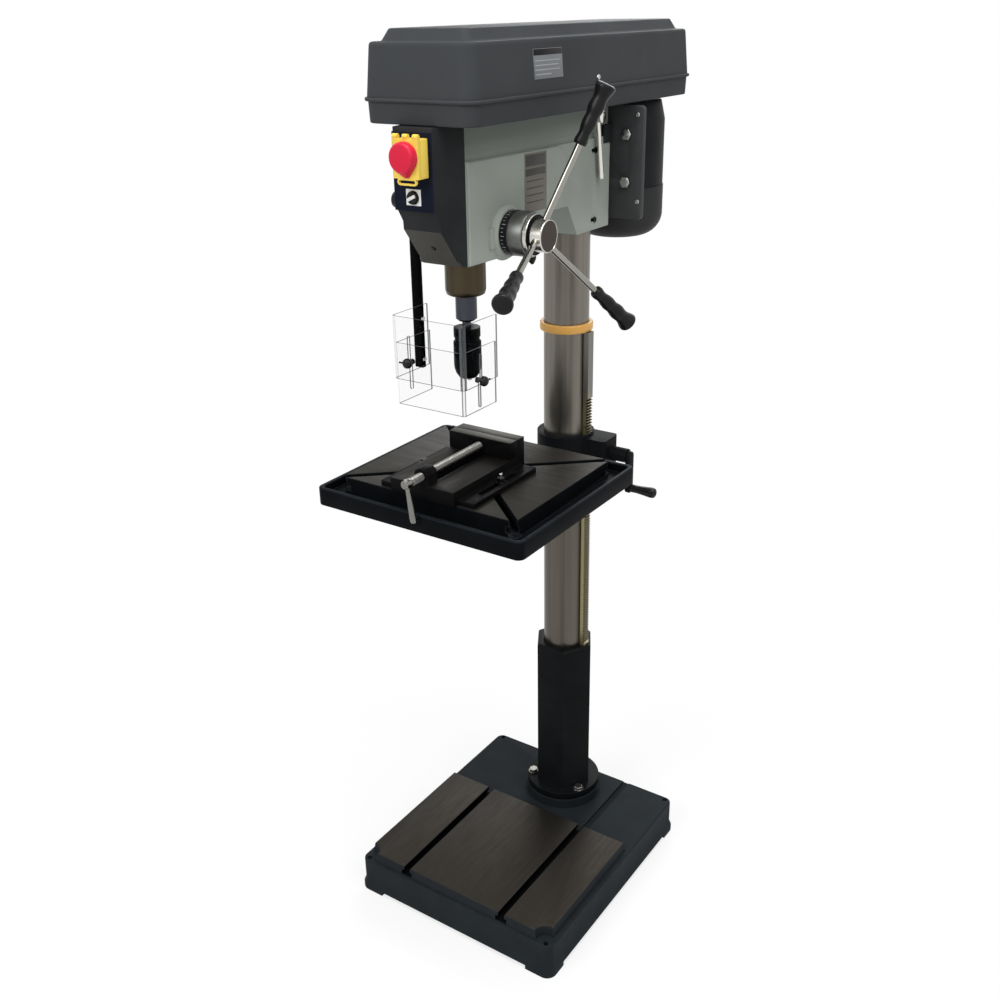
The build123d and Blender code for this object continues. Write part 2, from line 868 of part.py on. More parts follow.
with BuildPart() as table:
    with BuildSketch(Plane.XY.offset(rim_bottom)):
        with Locations((0, table_y)):
            RectangleRounded(table_width, table_depth, table_corner)
    extrude(amount=rim_height)
    with BuildSketch(Plane.XY.offset(trough_floor)):
        with Locations((0, table_y)):
            RectangleRounded(
                table_width - 2 * rim_wall,
                table_depth - 2 * rim_wall,
                table_corner - rim_wall / 2,
            )
    extrude(amount=trough_depth, mode=Mode.SUBTRACT)
    with BuildSketch(Plane.XY.offset(trough_floor)):
        with Locations((0, table_y)):
            RectangleRounded(platform_width, platform_depth, platform_corner)
    extrude(amount=platform_top - trough_floor)
    with BuildSketch(Plane.XY.offset(rim_bottom)):
        with Locations((0, table_y)):
            RectangleRounded(
                table_width - 2 * rim_wall,
                table_depth - 2 * rim_wall,
                table_corner - rim_wall / 2,
            )
    extrude(amount=rim_height - trough_depth - floor_thickness, mode=Mode.SUBTRACT)
    with BuildSketch(Plane.XY.offset(rim_bottom)):
        with Locations((0, table_y)):
            Rectangle(platform_width - 2 * platform_wall, platform_depth - 2 * platform_wall)
    extrude(amount=under_platform - rim_bottom, mode=Mode.SUBTRACT)
    with BuildSketch(Plane.XY.offset(under_platform - table_rib_depth)):
        with Locations((0, table_y)):
            Rectangle(table_rib, platform_depth - platform_wall)
            Rectangle(platform_width - platform_wall, table_rib)
    extrude(amount=table_rib_depth)
    bar((0, boss_front, tilt_z), (0, 1, 0), tilt_boss_radius, tilt_boss_thickness)
    span_box((-tilt_boss_radius, boss_front, tilt_z), (tilt_boss_radius, boss_back, under_platform))
    with BuildSketch(Plane.XY.offset(slot_bottom - table_slot_floor)):
        for side, turn, place in slot_places:
            with Locations(place):
                Rectangle(
                    slot_length + 2 * table_slot_wall,
                    table_slot_foot_width + 2 * table_slot_wall,
                    rotation=side * turn * slot_angle,
                )
        with Locations((0, table_y)):
            Rectangle(
                platform_width - platform_wall,
                platform_depth - platform_wall,
                mode=Mode.INTERSECT,
            )
    extrude(amount=under_platform - slot_bottom + table_slot_floor)
    for slot_width, slot_low, slot_depth in slot_levels:
        with BuildSketch(Plane.XY.offset(slot_low)):
            for side, turn, place in slot_places:
                with Locations(place):
                    SlotOverall(slot_length, slot_width, rotation=side * turn * slot_angle)
        extrude(amount=slot_depth, mode=Mode.SUBTRACT)
    bar((0, boss_front, tilt_z), (0, 1, 0), tilt_bolt_radius + shaft_fit, tilt_boss_thickness, Mode.SUBTRACT)
table.part.label = "table"
export_step(table.part, "parts/table.step")

# Bolt on which the table tilts
with BuildPart() as tilt_bolt:
    tilt_bolt_start = boss_front - running_gap
    tilt_bolt_length = tilt_face_y - tilt_bolt_start + tilt_bolt_depth
    bar((0, tilt_bolt_start, tilt_z), (0, 1, 0), tilt_bolt_radius, tilt_bolt_length)
    with BuildSketch(front_view(tilt_bolt_start, tilt_z)):
        RegularPolygon(tilt_bolt_flats / 2, 6, major_radius=False)
    extrude(amount=tilt_bolt_head)
tilt_bolt.part.label = "tilt_bolt"
export_step(tilt_bolt.part, "parts/tilt_bolt.step")

# Vise body with its bed, flanges, fixed jaw and nut
vise_bed_top = platform_top + vise_bed_height
vise_jaw_top = vise_bed_top + vise_jaw_height
vise_screw_z = vise_bed_top + vise_screw_rise
fixed_jaw_front = vise_back - vise_jaw_depth
vise_nut_back = vise_front + vise_nut_length
vise_flange_middle = (vise_flange_front + vise_flange_back) / 2
vise_flange_centre = vise_width / 2 + vise_flange_reach / 2
with BuildPart() as vise_body:
    span_box((-vise_width / 2, vise_front, platform_top), (vise_width / 2, vise_back, vise_bed_top))
    span_box(
        (-vise_width / 2 - vise_flange_reach, vise_flange_front, platform_top),
        (vise_width / 2 + vise_flange_reach, vise_flange_back, platform_top + vise_flange_thickness),
    )
    span_box((-vise_width / 2, fixed_jaw_front, vise_bed_top), (vise_width / 2, vise_back, vise_jaw_top))
    bar((0, vise_front, vise_screw_z), (0, 1, 0), vise_nut_radius, vise_nut_length)
    span_box(
        (-vise_nut_radius, vise_front, vise_bed_top),
        (vise_nut_radius, vise_nut_back, vise_screw_z),
    )
    span_box(
        (-vise_guide / 2, vise_nut_back, vise_bed_top - vise_guide_depth),
        (vise_guide / 2, fixed_jaw_front, vise_bed_top),
        Mode.SUBTRACT,
    )
    bar(
        (0, vise_front, vise_screw_z),
        (0, 1, 0),
        vise_screw_radius + shaft_fit,
        vise_nut_length,
        Mode.SUBTRACT,
    )
    with BuildSketch(Plane.XY.offset(platform_top)):
        for side in (-1, 1):
            with Locations((side * vise_flange_centre, vise_flange_middle)):
                SlotOverall(vise_flange_slot_length, vise_flange_slot, rotation=90)
    extrude(amount=vise_flange_thickness, mode=Mode.SUBTRACT)
vise_body.part.label = "vise_body"
export_step(vise_body.part, "parts/vise_body.step")

# Moving jaw, guided in the bed
moving_jaw_back = fixed_jaw_front - running_gap
moving_jaw_front = moving_jaw_back - vise_jaw_depth
with BuildPart() as vise_jaw:
    span_box(
        (-vise_width / 2, moving_jaw_front, vise_bed_top + running_gap),
        (vise_width / 2, moving_jaw_back, vise_jaw_top),
    )
    span_box(
        (-vise_guide / 2 + running_gap, moving_jaw_front, vise_bed_top - vise_guide_depth + running_gap),
        (vise_guide / 2 - running_gap, moving_jaw_back, vise_bed_top + running_gap),
    )
    bar(
        (0, moving_jaw_front, vise_screw_z),
        (0, 1, 0),
        vise_screw_radius + shaft_fit,
        vise_screw_seat + running_gap,
        Mode.SUBTRACT,
    )
vise_jaw.part.label = "vise_jaw"
export_step(vise_jaw.part, "parts/vise_jaw.step")

# Vise screw with its hub and hanging handle
with BuildPart() as vise_screw:
    vise_screw_length = moving_jaw_front + vise_screw_seat - vise_handle_y
    bar((0, vise_handle_y, vise_screw_z), (0, 1, 0), vise_screw_radius, vise_screw_length)
    bar((0, vise_handle_y - vise_hub_length / 2, vise_screw_z), (0, 1, 0), vise_hub_radius, vise_hub_length)
    handle_way = (sin(radians(vise_handle_lean)), 0, -cos(radians(vise_handle_lean)))
    bar((0, vise_handle_y, vise_screw_z), handle_way, vise_handle_radius, vise_handle_length)
vise_screw.part.label = "vise_screw"
export_step(vise_screw.part, "parts/vise_screw.step")

# Head casting: quill housing, hollow middle and column clamp
spindle_axis = Axis((0, spindle_y, 0), (0, 0, 1))
feed_axis = Axis((0, feed_y, feed_z), (1, 0, 0))
chuck_guard_boss_face = -shield_left - running_gap
quill_room = drive_sleeve_bottom - head_bottom
lid_knuckle_z = lip_top - lid_hinge_drop
with BuildPart() as head_casting:
    with BuildSketch(Plane.XY.offset(head_bottom)) as lower_plan:
        Polygon(*head_plan(0), align=None)
        fillet(lower_plan.vertices().group_by(Axis.Y)[-1], radius=head_round)
    extrude(amount=head_band - head_bottom)
    with BuildSketch(Plane.XY.offset(head_band)) as upper_plan:
        Polygon(*head_plan(head_band_inset), align=None)
        fillet(upper_plan.vertices().group_by(Axis.Y)[-1], radius=head_round)
    extrude(amount=head_top - head_band)
    with BuildSketch(side_view(-head_back_half)):
        Polygon(
            (arch_front, head_bottom),
            (arch_rise_y, arch_top),
            (arch_back, arch_top),
            (arch_foot, head_bottom),
            align=None,
        )
    extrude(amount=2 * head_back_half, mode=Mode.SUBTRACT)
    with BuildSketch(Plane.XY.offset(cavity_floor)):
        Polygon(*head_plan(head_band_inset + head_wall), align=None)
        with Locations((0, cavity_front)):
            Rectangle(
                2 * head_back_half,
                cavity_back - cavity_front,
                align=(Align.CENTER, Align.MIN),
                mode=Mode.INTERSECT,
            )
        with Locations((idler_pivot_x, idler_pivot_y)):
            Circle(idler_boss_radius, mode=Mode.SUBTRACT)
    extrude(amount=head_top - cavity_floor, mode=Mode.SUBTRACT)
    bar((0, feed_y, feed_z), (1, 0, 0), feed_boss_radius, feed_boss_reach)
    bar((0, feed_y, feed_z), (-1, 0, 0), spring_boss_radius, spring_boss_reach)
    bar((0, chuck_guard_y, chuck_guard_z), (-1, 0, 0), chuck_guard_boss, chuck_guard_boss_face)
    bar((0, spindle_y, head_bottom), (0, 0, 1), quill_radius + shaft_fit, quill_room, Mode.SUBTRACT)
    bar(
        (0, spindle_y, head_bottom),
        (0, 0, 1),
        drive_sleeve_radius + shaft_fit,
        head_top - head_bottom,
        Mode.SUBTRACT,
    )
    bar(
        (0, column_y, head_bottom),
        (0, 0, 1),
        column_radius + shaft_fit,
        column_top + running_gap - head_bottom,
        Mode.SUBTRACT,
    )
    bar(
        (-feed_gear_half - running_gap, feed_y, feed_z),
        (1, 0, 0),
        feed_journal_radius + shaft_fit,
        feed_boss_reach + feed_gear_half + running_gap,
        Mode.SUBTRACT,
    )
    bar((0, feed_y, feed_z), (-1, 0, 0), feed_shaft_radius + shaft_fit, spring_boss_reach, Mode.SUBTRACT)
    bar(
        (-guard_pin_root, chuck_guard_y, chuck_guard_z),
        (-1, 0, 0),
        guard_pin_radius + shaft_fit,
        chuck_guard_boss_face - guard_pin_root,
        Mode.SUBTRACT,
    )
    bar(
        (lever_shaft_start - running_gap, lever_y, lever_z),
        (1, 0, 0),
        lever_shaft_radius + shaft_fit,
        head_back_half - lever_shaft_start,
        Mode.SUBTRACT,
    )
    bar(
        (idler_pivot_x, idler_pivot_y, head_top - idler_pivot_depth - running_gap),
        (0, 0, 1),
        idler_pivot_radius + shaft_fit,
        idler_pivot_depth + running_gap,
        Mode.SUBTRACT,
    )
    for side in (-1, 1):
        bar(
            (side * slide_rod_x, cavity_back, slide_rod_z),
            (0, 1, 0),
            slide_rod_radius + shaft_fit,
            head_back - cavity_back,
            Mode.SUBTRACT,
        )
    for screw_z in set_screw_heights:
        bar(
            (head_back_half, lever_y, screw_z),
            (-1, 0, 0),
            set_screw_radius + shaft_fit,
            set_screw_length + running_gap,
            Mode.SUBTRACT,
        )
head_casting.part.label = "head_casting"
export_step(head_casting.part, "parts/head_casting.step")

# Set screws that lock the head on the column
with BuildPart() as head_screws:
    for screw_z in set_screw_heights:
        bar((head_back_half, lever_y, screw_z), (-1, 0, 0), set_screw_radius, set_screw_length)
head_screws.part.label = "head_screws"
export_step(head_screws.part, "parts/head_screws.step")

# Front cover: a thin shell open towards the casting
cover_levels = (
    (head_bottom, cover_toe_y),
    (cover_chin_z, cover_chin_y),
    (cover_step_z, cover_step_y),
    (cover_bend_z, cover_front),
    (head_top, cover_front),
)
with BuildPart() as front_cover:
    for level, front in cover_levels:
        with BuildSketch(Plane.XY.offset(level)):
            Polygon(
                (-cover_half, front),
                (cover_half, front),
                (head_front_half, head_front),
                (-head_front_half, head_front),
                align=None,
            )
    loft(ruled=True)
    for level, front in cover_levels[1:]:
        with BuildSketch(Plane.XY.offset(min(level, head_top - cover_wall))):
            Polygon(
                (-cover_half + cover_wall, front + cover_wall),
                (cover_half - cover_wall, front + cover_wall),
                (head_front_half - cover_wall, head_front),
                (-head_front_half + cover_wall, head_front),
                align=None,
            )
    loft(ruled=True, mode=Mode.SUBTRACT)
front_cover.part.label = "front_cover"
export_step(front_cover.part, "parts/front_cover.step")

# Switch box on its back plate
switch_back = cover_front - switch_plate_thickness
switch_front = switch_back - switch_depth
switch_top = switch_bottom + switch_height
switch_z = switch_bottom + switch_height / 2
start_z = switch_z + start_button_drop
with BuildPart() as switch_box:
    span_box(
        (-switch_plate_half, switch_back, switch_plate_bottom),
        (switch_plate_half, cover_front, switch_plate_top),
    )
    span_box(
        (switch_x - switch_width / 2, switch_front, switch_bottom),
        (switch_x + switch_width / 2, switch_back, switch_top),
    )
    bar(
        (switch_x, switch_front, start_z),
        (0, 1, 0),
        start_button_radius + running_gap,
        start_button_length,
        Mode.SUBTRACT,
    )
    bar(
        (selector_x, switch_back, selector_z),
        (0, 1, 0),
        selector_stem + shaft_fit,
        switch_plate_thickness,
        Mode.SUBTRACT,
    )
switch_box.part.label = "switch_box"
export_step(switch_box.part, "parts/switch_box.step")

# Start button under the flap
with BuildPart() as start_button:
    bar(
        (switch_x, switch_front, start_z),
        (0, 1, 0),
        start_button_radius,
        start_button_length - start_button_room,
    )
start_button.part.label = "start_button"
export_step(start_button.part, "parts/start_button.step")

# Hinged stop flap with its hinge lugs along the top
flap_back = switch_front - running_gap
flap_front = flap_back - flap_thickness
flap_hinge_z = switch_top + flap_hinge_radius
flap_hinge_y = flap_back - flap_hinge_radius
mushroom_z = switch_z + mushroom_rise
with BuildPart() as stop_flap:
    span_box(
        (switch_x - switch_width / 2, flap_front, switch_bottom),
        (switch_x + switch_width / 2, flap_back, switch_top),
    )
    for lug in range(flap_lug_count):
        lug_centre = switch_x + (lug - (flap_lug_count - 1) / 2) * (switch_width - flap_lug_width) / 2
        bar(
            (lug_centre - flap_lug_width / 2, flap_hinge_y, flap_hinge_z),
            (1, 0, 0),
            flap_hinge_radius,
            flap_lug_width,
        )
        span_box(
            (lug_centre - flap_lug_width / 2, flap_front, switch_top),
            (lug_centre + flap_lug_width / 2, flap_back, flap_hinge_z),
        )
    bar(
        (switch_x, flap_front, mushroom_z),
        (0, 1, 0),
        mushroom_stem + shaft_fit,
        flap_thickness / 2,
        Mode.SUBTRACT,
    )
stop_flap.part.label = "stop_flap"
export_step(stop_flap.part, "parts/stop_flap.step")

# Red mushroom on the flap
mushroom_back = flap_front - mushroom_stem_length
with BuildPart() as stop_mushroom:
    bar(
        (switch_x, mushroom_back, mushroom_z),
        (0, 1, 0),
        mushroom_stem,
        mushroom_stem_length + flap_thickness / 2,
    )
    with BuildSketch(front_view(mushroom_back, mushroom_z)):
        with Locations((switch_x, 0)):
            Circle(mushroom_radius)
    extrude(amount=mushroom_depth)
    fillet(stop_mushroom.faces().sort_by(Axis.Y)[0].edges(), radius=mushroom_edge)
stop_mushroom.part.label = "stop_mushroom"
export_step(stop_mushroom.part, "parts/stop_mushroom.step")

# Selector knob below the switch
with BuildPart() as selector_knob:
    selector_back = switch_back - running_gap
    bar((selector_x, selector_back, selector_z), (0, -1, 0), selector_radius, selector_length)
    bar((selector_x, selector_back, selector_z), (0, 1, 0), selector_stem, switch_plate_thickness)
selector_knob.part.label = "selector_knob"
export_step(selector_knob.part, "parts/selector_knob.step")

# Belt guard pan: floor, walls, lip and the pins of the lid's hinge
guard_length = guard_back - guard_front
guard_middle = (guard_front + guard_back) / 2
pan_half = guard_half - pan_inset
pan_floor = pan_bottom + pan_thickness
shaft_slot = motor_slide_in + motor_slide_out
shaft_room = 2 * (motor_shaft_radius + running_gap)
with BuildPart() as belt_guard_pan:
    with BuildSketch(Plane.XY.offset(pan_bottom)):
        with Locations((0, guard_middle)):
            RectangleRounded(2 * pan_half, guard_length - 2 * pan_inset, guard_corner)
    extrude(amount=lip_top - pan_bottom)
    with BuildSketch(Plane.XY.offset(lip_top - lip_height)):
        with Locations((0, guard_middle)):
            RectangleRounded(
                2 * (guard_half + lip_proud),
                guard_length + 2 * lip_proud,
                guard_corner + lip_proud,
            )
    extrude(amount=lip_height)
    with BuildSketch(Plane.XY.offset(pan_floor)):
        with Locations((0, guard_middle)):
            RectangleRounded(
                2 * (pan_half - pan_wall),
                guard_length - 2 * (pan_inset + pan_wall),
                guard_corner - pan_wall,
            )
    extrude(amount=lip_top - pan_floor, mode=Mode.SUBTRACT)
    with BuildSketch(Plane.XY.offset(pan_bottom)):
        with Locations((0, spindle_y)):
            Circle(drive_sleeve_radius + pocket_room)
        with Locations((idler_pivot_x, idler_pivot_y)):
            Circle(idler_pivot_radius + pocket_room)
        with Locations((0, motor_y + (motor_slide_out - motor_slide_in) / 2)):
            SlotOverall(shaft_slot + shaft_room, shaft_room, rotation=90)
    extrude(amount=pan_thickness, mode=Mode.SUBTRACT)
    for ear_y in lid_hinge_ears:
        pin_start = ear_y - lid_hinge_length / 2 - lid_hinge_post
        pin_length = lid_hinge_length + 2 * lid_hinge_post
        bar((lid_hinge_x, pin_start, lid_knuckle_z), (0, 1, 0), lid_hinge_pin, pin_length)
        for post_y in (pin_start, pin_start + pin_length - lid_hinge_post + running_gap):
            span_box(
                (lid_hinge_x, post_y, lid_knuckle_z - lid_hinge_pin),
                (-pan_half, post_y + lid_hinge_post - running_gap, lid_knuckle_z),
            )
belt_guard_pan.part.label = "belt_guard_pan"
export_step(belt_guard_pan.part, "parts/belt_guard_pan.step")

# Belt guard lid: drawn shell with a raised top and hinge knuckles on the left
lid_bottom = lip_top + running_gap
lid_height = lid_fold - lid_bottom
lid_lean = lid_height * tan(radians(lid_draft))
plateau_half = guard_half - lid_lean - lid_ledge
plateau_length = guard_length - 2 * (lid_lean + lid_ledge)
with BuildPart() as belt_guard_lid:
    with BuildSketch(Plane.XY.offset(lid_bottom)):
        with Locations((0, guard_middle)):
            RectangleRounded(2 * guard_half, guard_length, guard_corner)
    extrude(amount=lid_height, taper=lid_draft)
    with BuildSketch(Plane.XY.offset(lid_fold)):
        with Locations((0, guard_middle)):
            RectangleRounded(2 * plateau_half, plateau_length, lid_plateau_corner)
    extrude(amount=lid_plateau_height, taper=lid_plateau_draft)
    with BuildSketch(Plane.XY.offset(lid_bottom)):
        with Locations((0, guard_middle)):
            RectangleRounded(
                2 * (guard_half - lid_wall),
                guard_length - 2 * lid_wall,
                guard_corner - lid_wall,
            )
    extrude(amount=lid_height - lid_wall, taper=lid_draft, mode=Mode.SUBTRACT)
    with BuildSketch(Plane.XY.offset(lid_fold - lid_wall)):
        with Locations((0, guard_middle)):
            RectangleRounded(
                2 * (plateau_half - lid_wall),
                plateau_length - 2 * lid_wall,
                lid_plateau_corner - lid_wall,
            )
    extrude(amount=lid_plateau_height, taper=lid_plateau_draft, mode=Mode.SUBTRACT)
    for ear_y in lid_hinge_ears:
        ear_start = ear_y - lid_hinge_length / 2 + running_gap
        ear_length = lid_hinge_length - 2 * running_gap
        bar((lid_hinge_x, ear_start, lid_knuckle_z), (0, 1, 0), lid_hinge_barrel, ear_length)
        span_box(
            (lid_hinge_x - lid_hinge_barrel, ear_start, lid_knuckle_z),
            (-guard_half + lid_wall, ear_start + ear_length, lid_knuckle_z + lid_hinge_barrel),
        )
        bar(
            (lid_hinge_x, ear_start, lid_knuckle_z),
            (0, 1, 0),
            lid_hinge_pin + shaft_fit,
            ear_length,
            Mode.SUBTRACT,
        )
        span_box(
            (lid_hinge_x, ear_start, lid_knuckle_z - 2 * lid_hinge_barrel),
            (-guard_half + lid_wall, ear_start + ear_length, lid_bottom),
            Mode.SUBTRACT,
        )
belt_guard_lid.part.label = "belt_guard_lid"
export_step(belt_guard_lid.part, "parts/belt_guard_lid.step")


def pulley_outline(steps, bore):
    """Half section of a stepped pulley with one belt groove in each step, as pairs of radius and height."""
    points = [(bore, pulley_bottom)]
    margin = (pulley_step - groove_height) / 2
    for number, step in enumerate(steps):
        low = pulley_bottom + number * pulley_step
        rim = step + pulley_rim
        floor = step + pulley_rim - groove_depth
        points += [
            (rim, low),
            (rim, low + margin),
            (floor, low + margin),
            (floor, low + margin + groove_height),
            (rim, low + margin + groove_height),
            (rim, low + pulley_step),
        ]
    points.append((bore, pulley_bottom + len(steps) * pulley_step))
    return points


# Spindle pulley with the splined sleeve that drives the spindle
with BuildPart() as spindle_pulley:
    with BuildSketch(front_view(spindle_y)):
        Polygon(*pulley_outline(spindle_steps, spline_root), align=None)
    revolve(axis=spindle_axis)
    bar(
        (0, spindle_y, drive_sleeve_bottom),
        (0, 0, 1),
        drive_sleeve_radius,
        pulley_bottom + pulley_step - drive_sleeve_bottom,
    )
    with BuildSketch(Plane.XY.offset(drive_sleeve_bottom)):
        with Locations((0, spindle_y)):
            Circle(spline_root + spline_fit)
            for key in range(spline_count):
                Rectangle(
                    spline_outer + spline_fit,
                    spline_width + 2 * spline_fit,
                    rotation=key * 360 / spline_count,
                    align=(Align.MIN, Align.CENTER),
                )
    extrude(amount=spindle_top, mode=Mode.SUBTRACT)
spindle_pulley.part.label = "spindle_pulley"
export_step(spindle_pulley.part, "parts/spindle_pulley.step")

# Idler arm: pivot post in the head, arm and the idler's own post
pulley_top = pulley_bottom + len(idler_steps) * pulley_step
with BuildPart() as idler_arm:
    with BuildSketch(Plane.XY.offset(idler_arm_bottom)):
        with Locations((idler_pivot_x, idler_pivot_y), (0, idler_y)):
            Circle(idler_arm_half)
        make_hull()
    extrude(amount=idler_arm_height)
    bar(
        (idler_pivot_x, idler_pivot_y, head_top - idler_pivot_depth),
        (0, 0, 1),
        idler_pivot_radius,
        idler_arm_bottom - head_top + idler_pivot_depth,
    )
    bar((0, idler_y, idler_arm_bottom), (0, 0, 1), idler_shaft_radius, pulley_top - idler_arm_bottom)
idler_arm.part.label = "idler_arm"
export_step(idler_arm.part, "parts/idler_arm.step")

# Idler pulley
with BuildPart() as idler_pulley:
    with BuildSketch(front_view(idler_y)):
        Polygon(*pulley_outline(idler_steps, idler_shaft_radius + shaft_fit), align=None)
    revolve(axis=Axis((0, idler_y, 0), (0, 0, 1)))
idler_pulley.part.label = "idler_pulley"
export_step(idler_pulley.part, "parts/idler_pulley.step")

# Motor pulley
with BuildPart() as motor_pulley:
    with BuildSketch(front_view(motor_y)):
        Polygon(*pulley_outline(motor_steps, motor_shaft_radius + shaft_fit), align=None)
    revolve(axis=Axis((0, motor_y, 0), (0, 0, 1)))
motor_pulley.part.label = "motor_pulley"
export_step(motor_pulley.part, "parts/motor_pulley.step")

# Belts, each round two pulley steps at one height
belt_offset = (pulley_step - belt_height) / 2
with BuildPart() as spindle_belt:
    with BuildSketch(Plane.XY.offset(pulley_bottom + spindle_belt_step_number * pulley_step + belt_offset)):
        with Locations((0, spindle_y)):
            Circle(spindle_steps[spindle_belt_step_number] + belt_seat)
        with Locations((0, idler_y)):
            Circle(idler_steps[spindle_belt_step_number] + belt_seat)
        make_hull()
        offset(amount=-belt_thickness, mode=Mode.SUBTRACT)
    extrude(amount=belt_height)
spindle_belt.part.label = "spindle_belt"
export_step(spindle_belt.part, "parts/spindle_belt.step")

with BuildPart() as motor_belt:
    with BuildSketch(Plane.XY.offset(pulley_bottom + motor_belt_step_number * pulley_step + belt_offset)):
        with Locations((0, motor_y)):
            Circle(motor_steps[motor_belt_step_number] + belt_seat)
        with Locations((0, idler_y)):
            Circle(idler_steps[motor_belt_step_number] + belt_seat)
        make_hull()
        offset(amount=-belt_thickness, mode=Mode.SUBTRACT)
    extrude(amount=belt_height)
motor_belt.part.label = "motor_belt"
export_step(motor_belt.part, "parts/motor_belt.step")

# Motor plate that slides on two rods
plate_back = motor_plate_front + motor_plate_thickness
with BuildPart() as motor_plate:
    span_box(
        (-motor_plate_half, motor_plate_front, motor_plate_bottom),
        (motor_plate_half, plate_back, motor_plate_top),
    )
    fillet(motor_plate.edges().filter_by(Axis.Y), radius=head_round)
    for side in (-1, 1):
        bar(
            (side * slide_rod_x, motor_plate_front, slide_rod_z),
            (0, 1, 0),
            slide_rod_radius + shaft_fit,
            motor_plate_thickness,
            Mode.SUBTRACT,
        )
        for bolt_z in motor_bolt_heights:
            bar(
                (side * motor_bolt_x, motor_plate_front, bolt_z),
                (0, 1, 0),
                motor_bolt_radius + shaft_fit,
                motor_plate_thickness,
                Mode.SUBTRACT,
            )
motor_plate.part.label = "motor_plate"
export_step(motor_plate.part, "parts/motor_plate.step")

# Slide rods of the motor plate
with BuildPart() as slide_rods:
    for side in (-1, 1):
        bar(
            (side * slide_rod_x, slide_rod_front, slide_rod_z),
            (0, 1, 0),
            slide_rod_radius,
            plate_back - slide_rod_front,
        )
slide_rods.part.label = "slide_rods"
export_step(slide_rods.part, "parts/slide_rods.step")

# Motor housing with its foot
motor_axis = Axis((0, motor_y, 0), (0, 0, 1))
motor_foot_reach = motor_bolt_x + motor_bolt_flats / 2
with BuildPart() as motor_body:
    with BuildSketch(front_view(motor_y)):
        Polygon(
            (0, motor_bottom),
            (motor_radius, motor_bottom),
            (motor_radius, motor_top - motor_top_chamfer),
            (motor_top_radius, motor_top),
            (0, motor_top),
            align=None,
        )
    revolve(axis=motor_axis)
    span_box(
        (-motor_foot_reach, plate_back, motor_foot_bottom),
        (motor_foot_reach, plate_back + motor_bolt_reach, motor_foot_top),
    )
    span_box(
        (-motor_foot_half, plate_back, motor_foot_bottom),
        (motor_foot_half, motor_y, motor_foot_top),
    )
    bar(
        (0, motor_y, motor_bottom + motor_end_wall),
        (0, 0, 1),
        motor_cavity_radius,
        motor_top - motor_bottom - 2 * motor_end_wall,
        Mode.SUBTRACT,
    )
    bar(
        (0, motor_y, motor_bottom),
        (0, 0, 1),
        motor_shaft_radius + shaft_fit,
        motor_top - motor_bottom,
        Mode.SUBTRACT,
    )
    for side in (-1, 1):
        for bolt_z in motor_bolt_heights:
            bar(
                (side * motor_bolt_x, plate_back, bolt_z),
                (0, 1, 0),
                motor_bolt_radius + shaft_fit,
                motor_bolt_reach,
                Mode.SUBTRACT,
            )
motor_body.part.label = "motor_body"
export_step(motor_body.part, "parts/motor_body.step")

# Bolts that hold the motor to its plate
with BuildPart() as motor_bolts:
    for side in (-1, 1):
        for bolt_z in motor_bolt_heights:
            bar(
                (side * motor_bolt_x, motor_plate_front, bolt_z),
                (0, 1, 0),
                motor_bolt_radius,
                motor_plate_thickness + motor_bolt_reach,
            )
    with BuildSketch(front_view(motor_plate_front)):
        for side in (-1, 1):
            for bolt_z in motor_bolt_heights:
                with Locations((side * motor_bolt_x, bolt_z)):
                    RegularPolygon(motor_bolt_flats / 2, 6, major_radius=False)
    extrude(amount=motor_bolt_head)
motor_bolts.part.label = "motor_bolts"
export_step(motor_bolts.part, "parts/motor_bolts.step")

# Rotor: shaft, iron core and cooling fan
fan_top = motor_bottom - fan_drop
rotor_bottom = motor_bottom + motor_end_wall + rotor_margin
rotor_top = motor_top - motor_end_wall - rotor_margin
with BuildPart() as motor_rotor:
    bar((0, motor_y, fan_top - fan_height), (0, 0, 1), motor_shaft_radius, pulley_top - fan_top + fan_height)
    bar((0, motor_y, rotor_bottom), (0, 0, 1), rotor_radius, rotor_top - rotor_bottom)
    bar((0, motor_y, fan_top - fan_height), (0, 0, 1), fan_hub, fan_height)
    with BuildSketch(Plane.XY.offset(fan_top - fan_height)):
        for blade in range(fan_blades):
            with Locations((0, motor_y)):
                Rectangle(
                    fan_radius,
                    fan_blade_thickness,
                    rotation=blade * 360 / fan_blades,
                    align=(Align.MIN, Align.CENTER),
                )
    extrude(amount=fan_height)
motor_rotor.part.label = "motor_rotor"
export_step(motor_rotor.part, "parts/motor_rotor.step")

# Fan cover under the motor, with vents in its floor
with BuildPart() as motor_fan_cover:
    bar((0, motor_y, fan_cover_bottom), (0, 0, 1), fan_cover_radius, motor_bottom - fan_cover_bottom)
    fillet(motor_fan_cover.faces().sort_by(Axis.Z)[0].edges(), radius=fan_cover_round)
    offset(openings=motor_fan_cover.faces().sort_by(Axis.Z)[-1], amount=-fan_cover_wall)
    with BuildSketch(Plane.XY.offset(fan_cover_bottom)):
        with Locations((0, motor_y)):
            with GridLocations(2 * fan_cover_vent, 0, fan_cover_vent_count, 1):
                SlotOverall(fan_cover_radius / 2, fan_cover_vent, rotation=90)
    extrude(amount=2 * fan_cover_wall, mode=Mode.SUBTRACT)
motor_fan_cover.part.label = "motor_fan_cover"
export_step(motor_fan_cover.part, "parts/motor_fan_cover.step")

